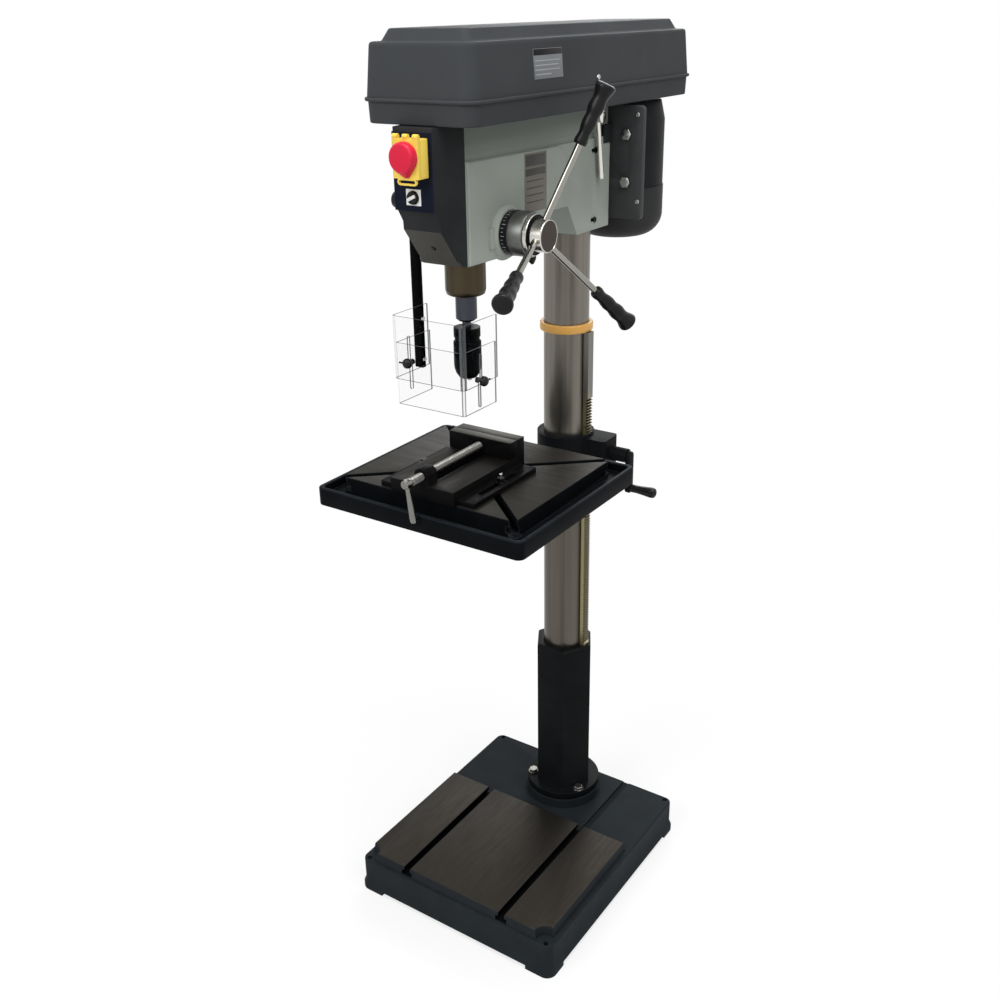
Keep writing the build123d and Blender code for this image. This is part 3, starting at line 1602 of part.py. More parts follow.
# Belt tension lever on its cross shaft
lever_rod_x = lever_hub_x + lever_hub_length / 2
lever_direction = Vector(0, sin(radians(lever_lean)), -cos(radians(lever_lean)))
lever_plane = Plane(origin=(lever_rod_x, lever_y, lever_z), z_dir=lever_direction)
with BuildPart() as tension_lever:
    bar((lever_shaft_start, lever_y, lever_z), (1, 0, 0), lever_shaft_radius, lever_hub_x - lever_shaft_start)
    bar((lever_hub_x, lever_y, lever_z), (1, 0, 0), lever_hub_radius, lever_hub_length)
    with Locations(lever_plane):
        Cone(
            lever_rod_radius,
            lever_rod_end,
            lever_rod_length,
            align=(Align.CENTER, Align.CENTER, Align.MIN),
        )
tension_lever.part.label = "tension_lever"
export_step(tension_lever.part, "parts/tension_lever.step")

# Quill with the rack cut in its back
feed_pitch = pi * feed_module
quill_rack_tip = quill_rack_offset + feed_module
quill_gap_low = -int(feed_journal_radius / feed_pitch)
quill_gap_high = int((quill_travel + feed_journal_radius) / feed_pitch)
bearing_seats = (quill_bottom + bearing_inset, quill_top - bearing_inset - bearing_height)
with BuildPart() as quill:
    bar((0, spindle_y, quill_bottom), (0, 0, 1), quill_radius, quill_top - quill_bottom)
    chamfer(quill.faces().sort_by(Axis.Z)[0].edges(), length=quill_chamfer)
    bar((0, spindle_y, quill_bottom), (0, 0, 1), quill_bore, quill_top - quill_bottom, Mode.SUBTRACT)
    for seat, reach in zip(bearing_seats, (-bearing_inset, bearing_inset)):
        bar(
            (0, spindle_y, seat + min(reach, 0)),
            (0, 0, 1),
            bearing_outer + shaft_fit,
            bearing_height + abs(reach),
            Mode.SUBTRACT,
        )
    with BuildSketch(side_view(-quill_rack_width / 2)):
        for gap_number in range(quill_gap_low, quill_gap_high + 1):
            gap_z = feed_z + gap_number * feed_pitch
            corners = rack_gap(gap_z, spindle_y + quill_rack_tip, feed_module, rack_backlash)
            Polygon(*corners, align=None)
        with Locations((spindle_y + quill_rack_tip, feed_z + quill_gap_low * feed_pitch - feed_module)):
            Rectangle(
                quill_radius - quill_rack_tip,
                (quill_gap_high - quill_gap_low) * feed_pitch + 2 * feed_module,
                align=(Align.MIN, Align.MIN),
            )
    extrude(amount=quill_rack_width, mode=Mode.SUBTRACT)
quill.part.label = "quill"
export_step(quill.part, "parts/quill.step")

# Two bearings that carry the spindle in the quill
with BuildPart() as quill_bearings:
    with BuildSketch(front_view(spindle_y)):
        for seat in bearing_seats:
            with Locations((spindle_radius + shaft_fit, seat)):
                Rectangle(
                    bearing_outer - spindle_radius - shaft_fit,
                    bearing_height,
                    align=(Align.MIN, Align.MIN),
                )
    revolve(axis=spindle_axis)
quill_bearings.part.label = "quill_bearings"
export_step(quill_bearings.part, "parts/quill_bearings.step")

# Spindle with its nose, chuck arbor and driving splines
with BuildPart() as spindle:
    with BuildSketch(front_view(spindle_y)):
        Polygon(
            (0, chuck_top - arbor_length),
            (arbor_radius, chuck_top - arbor_length),
            (arbor_radius, spindle_neck_bottom),
            (spindle_neck, spindle_neck_bottom),
            (spindle_nose, spindle_nose_bottom),
            (spindle_nose, quill_bottom),
            (spindle_radius, quill_bottom),
            (spindle_radius, quill_top),
            (spline_root, quill_top),
            (spline_root, spindle_top),
            (0, spindle_top),
            align=None,
        )
    revolve(axis=spindle_axis)
    with BuildSketch(Plane.XY.offset(quill_top)):
        for key in range(spline_count):
            with Locations((0, spindle_y)):
                Rectangle(
                    spline_outer,
                    spline_width,
                    rotation=key * 360 / spline_count,
                    align=(Align.MIN, Align.CENTER),
                )
    extrude(amount=spindle_top - quill_top)
spindle.part.label = "spindle"
export_step(spindle.part, "parts/spindle.step")

# Places of the chuck jaws, each leaning in towards the nose
jaw_planes = []
for number in range(jaw_count):
    jaw_angle = radians(90 + number * 360 / jaw_count)
    jaw_out = Vector(cos(jaw_angle), sin(jaw_angle), 0)
    jaw_low = Vector(0, spindle_y, jaw_tip) + jaw_out * jaw_tip_radius
    jaw_high = Vector(0, spindle_y, jaw_top) + jaw_out * jaw_top_radius
    jaw_planes.append(Plane(origin=jaw_low, z_dir=jaw_high - jaw_low))
jaw_length = (jaw_high - jaw_low).length

# Chuck body with three leaning bores for the jaws
with BuildPart() as chuck_body:
    with BuildSketch(front_view(spindle_y)):
        Polygon(
            (0, chuck_core_bottom),
            (chuck_core, chuck_core_bottom),
            (chuck_core, chuck_top - chuck_ring_height),
            (chuck_ring_radius, chuck_top - chuck_ring_height),
            (chuck_ring_radius, chuck_top),
            (0, chuck_top),
            align=None,
        )
    revolve(axis=spindle_axis)
    bar(
        (0, spindle_y, chuck_top),
        (0, 0, -1),
        arbor_radius + shaft_fit,
        arbor_length + running_gap,
        Mode.SUBTRACT,
    )
    with Locations(*jaw_planes):
        Cylinder(
            jaw_radius + shaft_fit,
            jaw_length + jaw_travel + pocket_room,
            align=(Align.CENTER, Align.CENTER, Align.MIN),
            mode=Mode.SUBTRACT,
        )
chuck_body.part.label = "chuck_body"
export_step(chuck_body.part, "parts/chuck_body.step")

# Chuck sleeve with its tapered nose
with BuildPart() as chuck_sleeve:
    with BuildSketch(front_view(spindle_y)):
        Polygon(
            (chuck_core + shaft_fit, chuck_top - chuck_ring_height - running_gap),
            (chuck_sleeve_radius, chuck_top - chuck_ring_height - running_gap),
            (chuck_sleeve_radius, chuck_nose_top),
            (chuck_nose_radius, chuck_bottom),
            (chuck_mouth, chuck_bottom),
            (chuck_core + shaft_fit, chuck_core_bottom - running_gap),
            align=None,
        )
    revolve(axis=spindle_axis)
chuck_sleeve.part.label = "chuck_sleeve"
export_step(chuck_sleeve.part, "parts/chuck_sleeve.step")

# Chuck jaws
for number, jaw_plane in enumerate(jaw_planes, start=1):
    with BuildPart() as chuck_jaw:
        with Locations(jaw_plane):
            Cylinder(jaw_radius, jaw_length, align=(Align.CENTER, Align.CENTER, Align.MIN))
    chuck_jaw.part.label = f"chuck_jaw_{number}"
    export_step(chuck_jaw.part, f"parts/chuck_jaw_{number}.step")

# Feed pinion shaft across the head
shaft_left = spring_boss_reach + spring_cap_depth - spring_cap_wall - running_gap
with BuildPart() as pinion_shaft:
    bar((-shaft_left, feed_y, feed_z), (1, 0, 0), feed_shaft_radius, shaft_left + hub_face - hub_edge)
    bar(
        (feed_journal_start, feed_y, feed_z),
        (1, 0, 0),
        feed_journal_radius,
        feed_boss_reach - feed_journal_start,
    )
    with BuildSketch(side_view(-feed_gear_half)):
        with Locations((feed_y, feed_z)):
            Polygon(*gear_outline(feed_teeth, feed_module, 180, rack_backlash), align=None)
    extrude(amount=2 * feed_gear_half)
pinion_shaft.part.label = "pinion_shaft"
export_step(pinion_shaft.part, "parts/pinion_shaft.step")

# Spokes lean outwards from the hub
spoke_planes = []
for number in range(spoke_count):
    spoke_angle = radians(spoke_first_angle + number * 360 / spoke_count)
    spoke_out = Vector(0, cos(spoke_angle), sin(spoke_angle))
    spoke_start = Vector(spoke_root_x, feed_y, feed_z) + spoke_out * spoke_root
    spoke_planes.append(Plane(origin=spoke_start, z_dir=spoke_out + Vector(spoke_lean, 0, 0)))
spoke_stretch = Vector(spoke_lean, 1).length
spoke_length = (spoke_end - spoke_root) * spoke_stretch

# Feed hub on the pinion shaft
hub_back = feed_boss_reach + running_gap
hub_shoulder = hub_back + dial_width + running_gap
with BuildPart() as feed_hub:
    with BuildSketch(front_view(feed_y, feed_z)):
        Polygon(
            (hub_back, feed_shaft_radius + shaft_fit),
            (hub_back, dial_bore),
            (hub_shoulder, dial_bore),
            (hub_shoulder, hub_ring_radius),
            (hub_shoulder + hub_ring_width, hub_ring_radius),
            (hub_shoulder + hub_ring_width, hub_radius),
            (hub_face - hub_edge, hub_radius),
            (hub_face, hub_radius - hub_edge),
            (hub_face, 0),
            (hub_face - hub_edge, 0),
            (hub_face - hub_edge, feed_shaft_radius + shaft_fit),
            align=None,
        )
    revolve(axis=feed_axis)
    with Locations(*spoke_planes):
        Cylinder(
            spoke_radius + shaft_fit,
            spoke_length,
            align=(Align.CENTER, Align.CENTER, Align.MIN),
            mode=Mode.SUBTRACT,
        )
feed_hub.part.label = "feed_hub"
export_step(feed_hub.part, "parts/feed_hub.step")

# Three spokes
with BuildPart() as feed_spokes:
    with Locations(*spoke_planes):
        Cylinder(spoke_radius, spoke_length, align=(Align.CENTER, Align.CENTER, Align.MIN))
feed_spokes.part.label = "feed_spokes"
export_step(feed_spokes.part, "parts/feed_spokes.step")

# Grips with a wavy outline and a flared end, one along each spoke
grip_low = (grip_start - spoke_root) * spoke_stretch
grip_high = (grip_end - spoke_root) * spoke_stretch
grip_span = grip_high - grip_low
grip_outline = (
    (grip_neck, grip_low),
    (grip_waist, grip_low + 0.22 * grip_span),
    (grip_bulge, grip_low + 0.45 * grip_span),
    (grip_throat, grip_low + 0.7 * grip_span),
    (grip_tip, grip_high - grip_tip / 2),
)
with BuildPart() as feed_grips:
    for spoke_plane in spoke_planes:
        outward = spoke_plane.z_dir
        with BuildSketch(
            Plane(
                origin=spoke_plane.origin,
                x_dir=spoke_plane.x_dir,
                z_dir=spoke_plane.x_dir.cross(outward),
            )
        ):
            with BuildLine():
                wave = Spline(*grip_outline)
                crown = Spline(wave @ 1, (0, grip_high), tangents=((0, 1), (-1, 0)))
                Polyline(
                    crown @ 1,
                    (0, spoke_length + running_gap),
                    (spoke_radius + shaft_fit, spoke_length + running_gap),
                    (spoke_radius + shaft_fit, grip_low),
                    grip_outline[0],
                )
            make_face()
        revolve(axis=Axis(spoke_plane.origin, outward))
feed_grips.part.label = "feed_grips"
export_step(feed_grips.part, "parts/feed_grips.step")

# Depth dial that turns on the hub
dial_lock_out = Vector(0, cos(radians(dial_lock_angle)), sin(radians(dial_lock_angle)))
dial_lock_foot = Vector(hub_back + dial_lock_reach, feed_y, feed_z)
dial_stem_depth = dial_radius - dial_bore - running_gap - shaft_fit
with BuildPart() as depth_dial:
    with BuildSketch(front_view(feed_y, feed_z)):
        with Locations((hub_back, dial_bore + shaft_fit)):
            Rectangle(dial_width, dial_radius - dial_bore - shaft_fit, align=(Align.MIN, Align.MIN))
    revolve(axis=feed_axis)
    bar(
        dial_lock_foot + dial_lock_out * dial_radius,
        -dial_lock_out,
        dial_lock_stem + shaft_fit,
        dial_stem_depth + running_gap,
        Mode.SUBTRACT,
    )
depth_dial.part.label = "depth_dial"
export_step(depth_dial.part, "parts/depth_dial.step")

# Knob that locks the dial
with BuildPart() as dial_lock_knob:
    bar(
        dial_lock_foot + dial_lock_out * (dial_radius + running_gap),
        -dial_lock_out,
        dial_lock_stem,
        dial_stem_depth,
    )
    bar(
        dial_lock_foot + dial_lock_out * (dial_radius + running_gap),
        dial_lock_out,
        dial_lock_radius,
        dial_lock_length,
    )
dial_lock_knob.part.label = "dial_lock_knob"
export_step(dial_lock_knob.part, "parts/dial_lock_knob.step")

# Return spring, a flat strip wound round the left end of the pinion shaft
spring_points = []
spring_count = spring_turns * spring_steps
for strip_side in (0, 1):
    edge = []
    for step in range(spring_count + 1):
        winding = spring_inner + (spring_outer - spring_inner) * step / spring_count
        winding += strip_side * spring_strip
        turn = 2 * pi * step / spring_steps
        edge.append((winding * cos(turn), winding * sin(turn)))
    spring_points += edge if strip_side == 0 else list(reversed(edge))
with BuildPart() as return_spring:
    with BuildSketch(side_view(-spring_boss_reach - running_gap)):
        with Locations((feed_y, feed_z)):
            Polygon(*spring_points, align=None)
    extrude(amount=-spring_width)
return_spring.part.label = "return_spring"
export_step(return_spring.part, "parts/return_spring.step")

# Cap that houses the return spring
with BuildPart() as spring_housing:
    bar((-spring_boss_reach, feed_y, feed_z), (-1, 0, 0), spring_cap_radius, spring_cap_depth)
    fillet(spring_housing.faces().sort_by(Axis.X)[0].edges(), radius=spring_cap_wall)
    bar(
        (-spring_boss_reach, feed_y, feed_z),
        (-1, 0, 0),
        spring_cap_radius - spring_cap_wall,
        spring_cap_depth - spring_cap_wall,
        Mode.SUBTRACT,
    )
spring_housing.part.label = "spring_housing"
export_step(spring_housing.part, "parts/spring_housing.step")

# Upper shield of the chuck guard, clear sheet bent round three sides
shield_depth = shield_back - shield_front
shield_middle = (shield_left + shield_right) / 2
shield_half = (shield_right - shield_left) / 2
stem_room = guard_knob_stem + shaft_fit
stem_run = lower_shield_travel + 2 * stem_room
slot_drop = lower_shield_travel / 2
with BuildPart() as guard_upper_shield:
    with BuildSketch(Plane.XY.offset(shield_bottom)):
        with Locations((shield_middle, shield_front)):
            Rectangle(2 * shield_half, shield_depth, align=(Align.CENTER, Align.MIN))
        with Locations((shield_middle, shield_front + shield_wall)):
            Rectangle(
                2 * (shield_half - shield_wall),
                shield_depth,
                align=(Align.CENTER, Align.MIN),
                mode=Mode.SUBTRACT,
            )
    extrude(amount=shield_top - shield_bottom)
    inner_corners = guard_upper_shield.edges().filter_by(Axis.Z).group_by(Axis.Y)[1]
    fillet(inner_corners, radius=shield_corner - shield_wall)
    fillet(guard_upper_shield.edges().filter_by(Axis.Z).group_by(Axis.Y)[0], radius=shield_corner)
    with BuildSketch(front_view(shield_front + shield_wall)):
        with Locations((front_knob_x, front_knob_z + slot_drop)):
            SlotOverall(stem_run, 2 * stem_room, rotation=90)
    extrude(amount=shield_wall, mode=Mode.SUBTRACT)
    with BuildSketch(side_view(shield_right - shield_wall)):
        with Locations((side_knob_y, side_knob_z + slot_drop)):
            SlotOverall(stem_run, 2 * stem_room, rotation=90)
    extrude(amount=shield_wall, mode=Mode.SUBTRACT)
guard_upper_shield.part.label = "guard_upper_shield"
export_step(guard_upper_shield.part, "parts/guard_upper_shield.step")

# Lower shield that slides inside the upper one on two slots
lower_half = shield_half - shield_wall - shield_gap
lower_front = shield_front + shield_wall + shield_gap
slot_run = lower_shield_travel + shield_slot + 2 * running_gap
with BuildPart() as guard_lower_shield:
    with BuildSketch(Plane.XY.offset(lower_shield_bottom)):
        with Locations((shield_middle, lower_front)):
            Rectangle(2 * lower_half, shield_back - lower_front, align=(Align.CENTER, Align.MIN))
        with Locations((shield_middle, lower_front + shield_wall)):
            Rectangle(
                2 * (lower_half - shield_wall),
                shield_depth,
                align=(Align.CENTER, Align.MIN),
                mode=Mode.SUBTRACT,
            )
    extrude(amount=lower_shield_top - lower_shield_bottom)
    lower_outer_corners = guard_lower_shield.edges().filter_by(Axis.Z).group_by(Axis.Y)[0]
    fillet(lower_outer_corners, radius=shield_corner - shield_wall)
    with BuildSketch(front_view(lower_front + shield_wall)):
        with Locations((front_knob_x, front_knob_z - slot_drop)):
            SlotOverall(slot_run, shield_slot, rotation=90)
    extrude(amount=shield_wall, mode=Mode.SUBTRACT)
    with BuildSketch(side_view(shield_middle + lower_half - shield_wall)):
        with Locations((side_knob_y, side_knob_z - slot_drop)):
            SlotOverall(slot_run, shield_slot, rotation=90)
    extrude(amount=shield_wall, mode=Mode.SUBTRACT)
guard_lower_shield.part.label = "guard_lower_shield"
export_step(guard_lower_shield.part, "parts/guard_lower_shield.step")

# Two knobs that clamp the lower shield
knob_screw = 2 * shield_wall + shield_gap + running_gap + guard_nut_length
with BuildPart() as guard_knobs:
    for seat, inward in (
        (Vector(front_knob_x, shield_front, front_knob_z), Vector(0, 1, 0)),
        (Vector(shield_right, side_knob_y, side_knob_z), Vector(-1, 0, 0)),
    ):
        bar(seat, -inward, guard_knob_radius, guard_knob_length)
        bar(seat, inward, guard_knob_stem, knob_screw)
        bar(seat + inward * (knob_screw - guard_nut_length), inward, guard_nut_radius, guard_nut_length)
guard_knobs.part.label = "guard_knobs"
export_step(guard_knobs.part, "parts/guard_knobs.step")

# Bar that carries the shields from the pivot
guard_bar_x = shield_left - guard_bar_width
with BuildPart() as guard_bar:
    span_box(
        (guard_bar_x, chuck_guard_y - guard_bar_thickness / 2, guard_bar_bottom),
        (shield_left, chuck_guard_y + guard_bar_thickness / 2, chuck_guard_z),
    )
    bar((shield_left, chuck_guard_y, chuck_guard_z), (-1, 0, 0), guard_bar_eye, guard_bar_width)
    bar(
        (shield_left, chuck_guard_y, chuck_guard_z),
        (-1, 0, 0),
        guard_pin_radius + shaft_fit,
        guard_bar_width,
        Mode.SUBTRACT,
    )
guard_bar.part.label = "guard_bar"
export_step(guard_bar.part, "parts/guard_bar.step")

# Knob and pin on which the chuck guard swings
pivot_collar_x = guard_bar_x - running_gap
with BuildPart() as guard_pivot_knob:
    bar(
        (-guard_pin_root, chuck_guard_y, chuck_guard_z),
        (-1, 0, 0),
        guard_pin_radius,
        -pivot_collar_x - guard_pin_root,
    )
    bar(
        (pivot_collar_x, chuck_guard_y, chuck_guard_z),
        (-1, 0, 0),
        pivot_collar_radius,
        pivot_collar_length,
    )
    bar(
        (pivot_collar_x - pivot_collar_length, chuck_guard_y, chuck_guard_z),
        (-1, 0, 0),
        pivot_knob_radius,
        pivot_knob_length,
    )
guard_pivot_knob.part.label = "guard_pivot_knob"
export_step(guard_pivot_knob.part, "parts/guard_pivot_knob.step")
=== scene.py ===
import json
from math import cos, hypot, pi, radians, sin

import bmesh
import bpy
from mathutils import Matrix, Vector


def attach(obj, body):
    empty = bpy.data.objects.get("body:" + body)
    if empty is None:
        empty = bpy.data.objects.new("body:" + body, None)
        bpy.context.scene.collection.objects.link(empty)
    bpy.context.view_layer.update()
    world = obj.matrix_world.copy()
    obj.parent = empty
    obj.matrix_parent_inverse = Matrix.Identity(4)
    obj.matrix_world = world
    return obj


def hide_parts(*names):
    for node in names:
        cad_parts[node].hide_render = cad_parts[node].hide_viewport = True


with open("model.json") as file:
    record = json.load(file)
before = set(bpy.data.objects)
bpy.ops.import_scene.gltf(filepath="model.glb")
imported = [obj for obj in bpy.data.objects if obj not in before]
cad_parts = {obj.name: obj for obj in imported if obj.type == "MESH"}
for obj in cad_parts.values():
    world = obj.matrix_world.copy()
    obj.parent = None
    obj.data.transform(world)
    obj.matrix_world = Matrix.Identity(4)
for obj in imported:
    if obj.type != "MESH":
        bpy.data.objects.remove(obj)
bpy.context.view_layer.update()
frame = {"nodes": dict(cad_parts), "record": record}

# Camera. It stands to the right of the drill and a little above its head, and looks down on it
# through a lens of about 40 mm, as the photograph was taken. It is rolled by one degree.
eye = Vector((1.1489, -1.7391, 1.8299))
yaw, pitch, roll = radians(34.465), radians(23.797), radians(-1.063)
level = Vector((cos(yaw), sin(yaw), 0))
ahead = Vector((-sin(yaw) * cos(pitch), cos(yaw) * cos(pitch), -sin(pitch)))
across = cos(roll) * level + sin(roll) * level.cross(ahead)
upward = across.cross(ahead)
lens = bpy.data.cameras.new("camera")
lens.lens = 40.55
lens.sensor_width = 36
camera = bpy.data.objects.new("camera", lens)
bearing = Matrix((across, upward, -ahead)).transposed().to_4x4()
camera.matrix_world = Matrix.Translation(eye) @ bearing
scene = bpy.context.scene
scene.collection.objects.link(camera)
scene.camera = camera
scene.view_settings.view_transform = "Standard"


# Studio. A wide white sheet lies on the floor, the room round it is white, and four large soft
# lamps hang round the drill: the key on its front left, a fill on its right, one overhead and one
# behind it.
def linear(code):
    """An sRGB hex colour as the linear colour that a shader takes."""
    parts = [int(code[k : k + 2], 16) / 255 for k in (1, 3, 5)]
    return [p / 12.92 if p <= 0.04045 else ((p + 0.055) / 1.055) ** 2.4 for p in parts] + [1.0]


def add(tree, kind, feeds=None, **settings):
    """Adds one shader node with its settings, and gives each input a value or a link."""
    node = tree.nodes.new("ShaderNode" + kind)
    for name, value in settings.items():
        setattr(node, name, value)
    for name, value in (feeds or {}).items():
        if isinstance(value, bpy.types.NodeSocket):
            tree.links.new(value, node.inputs[name])
        else:
            node.inputs[name].default_value = value
    return node


def seen_directly(tree):
    """1 for a ray that shows the surface, straight, mirrored or through glass, and 0 for light."""
    rays = add(tree, "LightPath").outputs
    plain = {0: rays["Is Camera Ray"], 1: rays["Is Glossy Ray"]}
    plain = add(tree, "Math", plain, operation="MAXIMUM")
    both = {0: plain.outputs[0], 1: rays["Is Transmission Ray"]}
    return add(tree, "Math", both, operation="MAXIMUM").outputs[0]


room = bpy.data.worlds.new("white_room")
scene.world = room
room.use_nodes = True
room.node_tree.nodes.clear()
ambient = add(room.node_tree, "Background", {"Color": linear("#f6f7fa"), "Strength": 0.32})
backdrop = add(room.node_tree, "Background", {"Color": linear("#ffffff"), "Strength": 1.0})
shown = {0: seen_directly(room.node_tree), 1: ambient.outputs[0], 2: backdrop.outputs[0]}
shown = add(room.node_tree, "MixShader", shown).outputs[0]
add(room.node_tree, "OutputWorld", {"Surface": shown})

paper = bpy.data.materials.new("white_paper")
paper.use_nodes = True
paper.node_tree.nodes.clear()
sheet = add(paper.node_tree, "BsdfDiffuse", {"Color": linear("#f4f4f4")})
glow = add(paper.node_tree, "Emission", {"Color": linear("#ffffff"), "Strength": 1.0})
floor_place = add(paper.node_tree, "TexCoord").outputs["Object"]
distance = add(paper.node_tree, "VectorMath", {0: floor_place}, operation="LENGTH").outputs["Value"]
fading = {"Value": distance, "From Min": 0.4, "From Max": 1.5, "To Min": 0.74, "To Max": 1.0}
fading = add(paper.node_tree, "MapRange", fading).outputs[0]
share = {0: seen_directly(paper.node_tree), 1: fading}
share = add(paper.node_tree, "Math", share, operation="MULTIPLY")
shown = {0: share.outputs[0], 1: sheet.outputs[0], 2: glow.outputs[0]}
shown = add(paper.node_tree, "MixShader", shown).outputs[0]
add(paper.node_tree, "OutputMaterial", {"Surface": shown})
floor_half = 9
floor_mesh = bpy.data.meshes.new("floor")
bm = bmesh.new()
bmesh.ops.create_grid(bm, x_segments=1, y_segments=1, size=floor_half)
bm.to_mesh(floor_mesh)
bm.free()
floor_mesh.materials.append(paper)
floor = bpy.data.objects.new("floor", floor_mesh)
scene.collection.objects.link(floor)

for name, power, size, place, aim in (
    ("key", 85, 2.2, (-0.6, -3.4, 3.3), (0, -0.05, 1.0)),
    ("fill", 62, 2.4, (2.7, -0.9, 4.1), (0, 0, 1.0)),
    ("overhead", 165, 2.6, (0.5, -0.4, 6.0), (0, 0, 0.8)),
    ("rim", 50, 2.0, (-1.2, 3.2, 3.0), (0, 0, 1.0)),
):
    lamp = bpy.data.lights.new(name, "AREA")
    lamp.energy = power
    lamp.size = size
    lamp_object = bpy.data.objects.new(name, lamp)
    lamp_object.location = place
    lamp_object.rotation_euler = (Vector(aim) - Vector(place)).to_track_quat("-Z", "Y").to_euler()
    scene.collection.objects.link(lamp_object)

# Base. A grey iron casting on four corner feet, sprayed with blue-black structured paint; its pad
# is planed flat for tall work, with two T-slots, and the walls draw in above the flared skirting.
slot_of = {part["node"]: part["material_slot"] for part in frame["record"]["subparts"]}
bodies = frame["record"]["behaviour"]["bodies"]
body_of = {node: body for body, nodes in bodies.items() for node in nodes}


def finish_of(name, specular):
    """An empty material with its shader and the object's own coordinates to draw patterns on."""
    material = bpy.data.materials.new(name)
    material.use_nodes = True
    tree = material.node_tree
    tree.nodes.clear()
    shader = add(tree, "BsdfPrincipled", {"Specular IOR Level": specular})
    add(tree, "OutputMaterial", {"Surface": shader.outputs[0]})
    return material, tree, shader, add(tree, "TexCoord").outputs["Object"]


def coated(name, colour, cloud, edge, rough, grain, height, specular=0.1, cloud_size=70, wear_and_highlight_share=0.5):
    """Paint or moulded plastic: soft clouds of a second shade, edges paler with wear and painted
    highlight, uneven gloss, and a fine grain. The sizes of grain and clouds are in millimetres,
    and so is the grain's height."""
    material, tree, shader, place = finish_of(name, specular)
    clouds = {"Vector": place, "Scale": 1000 / cloud_size, "Detail": 5.0}
    clouds = add(tree, "TexNoise", clouds).outputs["Fac"]
    spread = {"Value": clouds, "From Min": 0.35, "From Max": 0.65}
    spread = add(tree, "MapRange", spread).outputs[0]
    shades = {0: spread, 6: linear(colour), 7: linear(cloud)}
    shade = add(tree, "Mix", shades, data_type="RGBA").outputs[2]
    # The edges are mixed towards a paler colour: partly wear, partly a painted highlight on their
    # rounding.
    rounded = add(tree, "Bevel", {"Radius": 0.0016}, samples=4).outputs[0]
    facing = {0: rounded, 1: add(tree, "NewGeometry").outputs["Normal"]}
    facing = add(tree, "VectorMath", facing, operation="DOT_PRODUCT").outputs["Value"]
    wear_and_highlight_mask = {"Value": facing, "From Min": 0.99, "From Max": 0.85, "To Max": wear_and_highlight_share}
    wear_and_highlight_mask = add(tree, "MapRange", wear_and_highlight_mask).outputs[0]
    shade = add(tree, "Mix", {0: wear_and_highlight_mask, 6: shade, 7: linear(edge)}, data_type="RGBA").outputs[2]
    speck = {"Vector": place, "Scale": 1000 / grain, "Detail": 2.0}
    speck = add(tree, "TexNoise", speck).outputs["Fac"]
    gloss = {"Value": speck, "From Min": 0.3, "From Max": 0.7}
    gloss |= {"To Min": rough - 0.07, "To Max": rough + 0.07}
    bump = {"Strength": 0.6, "Distance": height / 1000, "Height": speck}
    tree.links.new(shade, shader.inputs["Base Color"])
    tree.links.new(add(tree, "MapRange", gloss).outputs[0], shader.inputs["Roughness"])
    tree.links.new(add(tree, "Bump", bump).outputs[0], shader.inputs["Normal"])
    return material


def bare_metal(name, colour, streak, rough, marks, contrast=0.6, height=0.004):
    """Metal with the marks of its last cut: streaks of a second shade, drawn out by their size in
    millimetres along each axis, which also change the gloss."""
    material, tree, shader, place = finish_of(name, 0.5)
    shader.inputs["Metallic"].default_value = 1.0
    stretch = {"Vector": place, "Scale": [1000 / size for size in marks]}
    stretch = add(tree, "Mapping", stretch).outputs[0]
    lines = {"Vector": stretch, "Scale": 1.0, "Detail": 6.0, "Roughness": 0.65}
    lines = add(tree, "TexNoise", lines).outputs["Fac"]
    spread = {"Value": lines, "From Min": 0.3, "From Max": 0.7, "To Max": contrast}
    spread = add(tree, "MapRange", spread).outputs[0]
    shades = {0: spread, 6: linear(colour), 7: linear(streak)}
    shade = add(tree, "Mix", shades, data_type="RGBA").outputs[2]
    gloss = {"Value": lines, "From Min": 0.3, "From Max": 0.7}
    gloss |= {"To Min": rough - 0.05, "To Max": rough + 0.08}
    bump = {"Strength": 0.4, "Distance": height / 1000, "Height": lines}
    tree.links.new(shade, shader.inputs["Base Color"])
    tree.links.new(add(tree, "MapRange", gloss).outputs[0], shader.inputs["Roughness"])
    tree.links.new(add(tree, "Bump", bump).outputs[0], shader.inputs["Normal"])
    return material


def copied(node):
    """A CAD node's mesh in millimetres, loose triangles joined and flat faces made whole."""
    bm = bmesh.new()
    bm.from_mesh(frame["nodes"][node].data)
    bmesh.ops.scale(bm, vec=(1000, 1000, 1000), verts=bm.verts)
    bmesh.ops.remove_doubles(bm, verts=bm.verts, dist=0.002)
    bmesh.ops.dissolve_limit(bm, angle_limit=radians(0.4), verts=bm.verts, edges=bm.edges)
    return bm


def round_edges(bm, width, segments=2, corner=30, where=lambda middle: True):
    """Rounds the edges that turn by more than a corner's angle, where they are chosen."""
    sharp = []
    for edge in bm.edges:
        middle = (edge.verts[0].co + edge.verts[1].co) / 2
        turns = len(edge.link_faces) == 2 and edge.calc_face_angle(0) > radians(corner)
        if turns and where(middle):
            sharp.append(edge)
    bmesh.ops.bevel(
        bm, geom=sharp, offset=width, offset_type="OFFSET", affect="EDGES", segments=segments,
        profile=0.5, material=-1, clamp_overlap=True,
    )
    return bm


def from_outline(at, half, corner, middle=0):
    """How far inside a rectangle with round corners a point lies, and the level way out there."""
    place = Vector((at.x, at.y - middle))
    beyond = Vector((abs(place.x), abs(place.y))) - half + Vector((corner, corner))
    if min(beyond) > 0:
        reach, out = beyond.length, beyond.normalized()
    elif beyond.x > beyond.y:
        reach, out = beyond.x, Vector((1, 0))
    else:
        reach, out = beyond.y, Vector((0, 1))
    way = Vector((out.x if place.x > 0 else -out.x, out.y if place.y > 0 else -out.y, 0))
    return corner - reach, way


def finish_faces(bm, number, chosen=lambda at, out: True):
    """Gives all faces, or those chosen by middle and direction, another of the materials."""
    bm.normal_update()
    for face in bm.faces:
        if chosen(face.calc_center_median(), face.normal):
            face.material_index = number


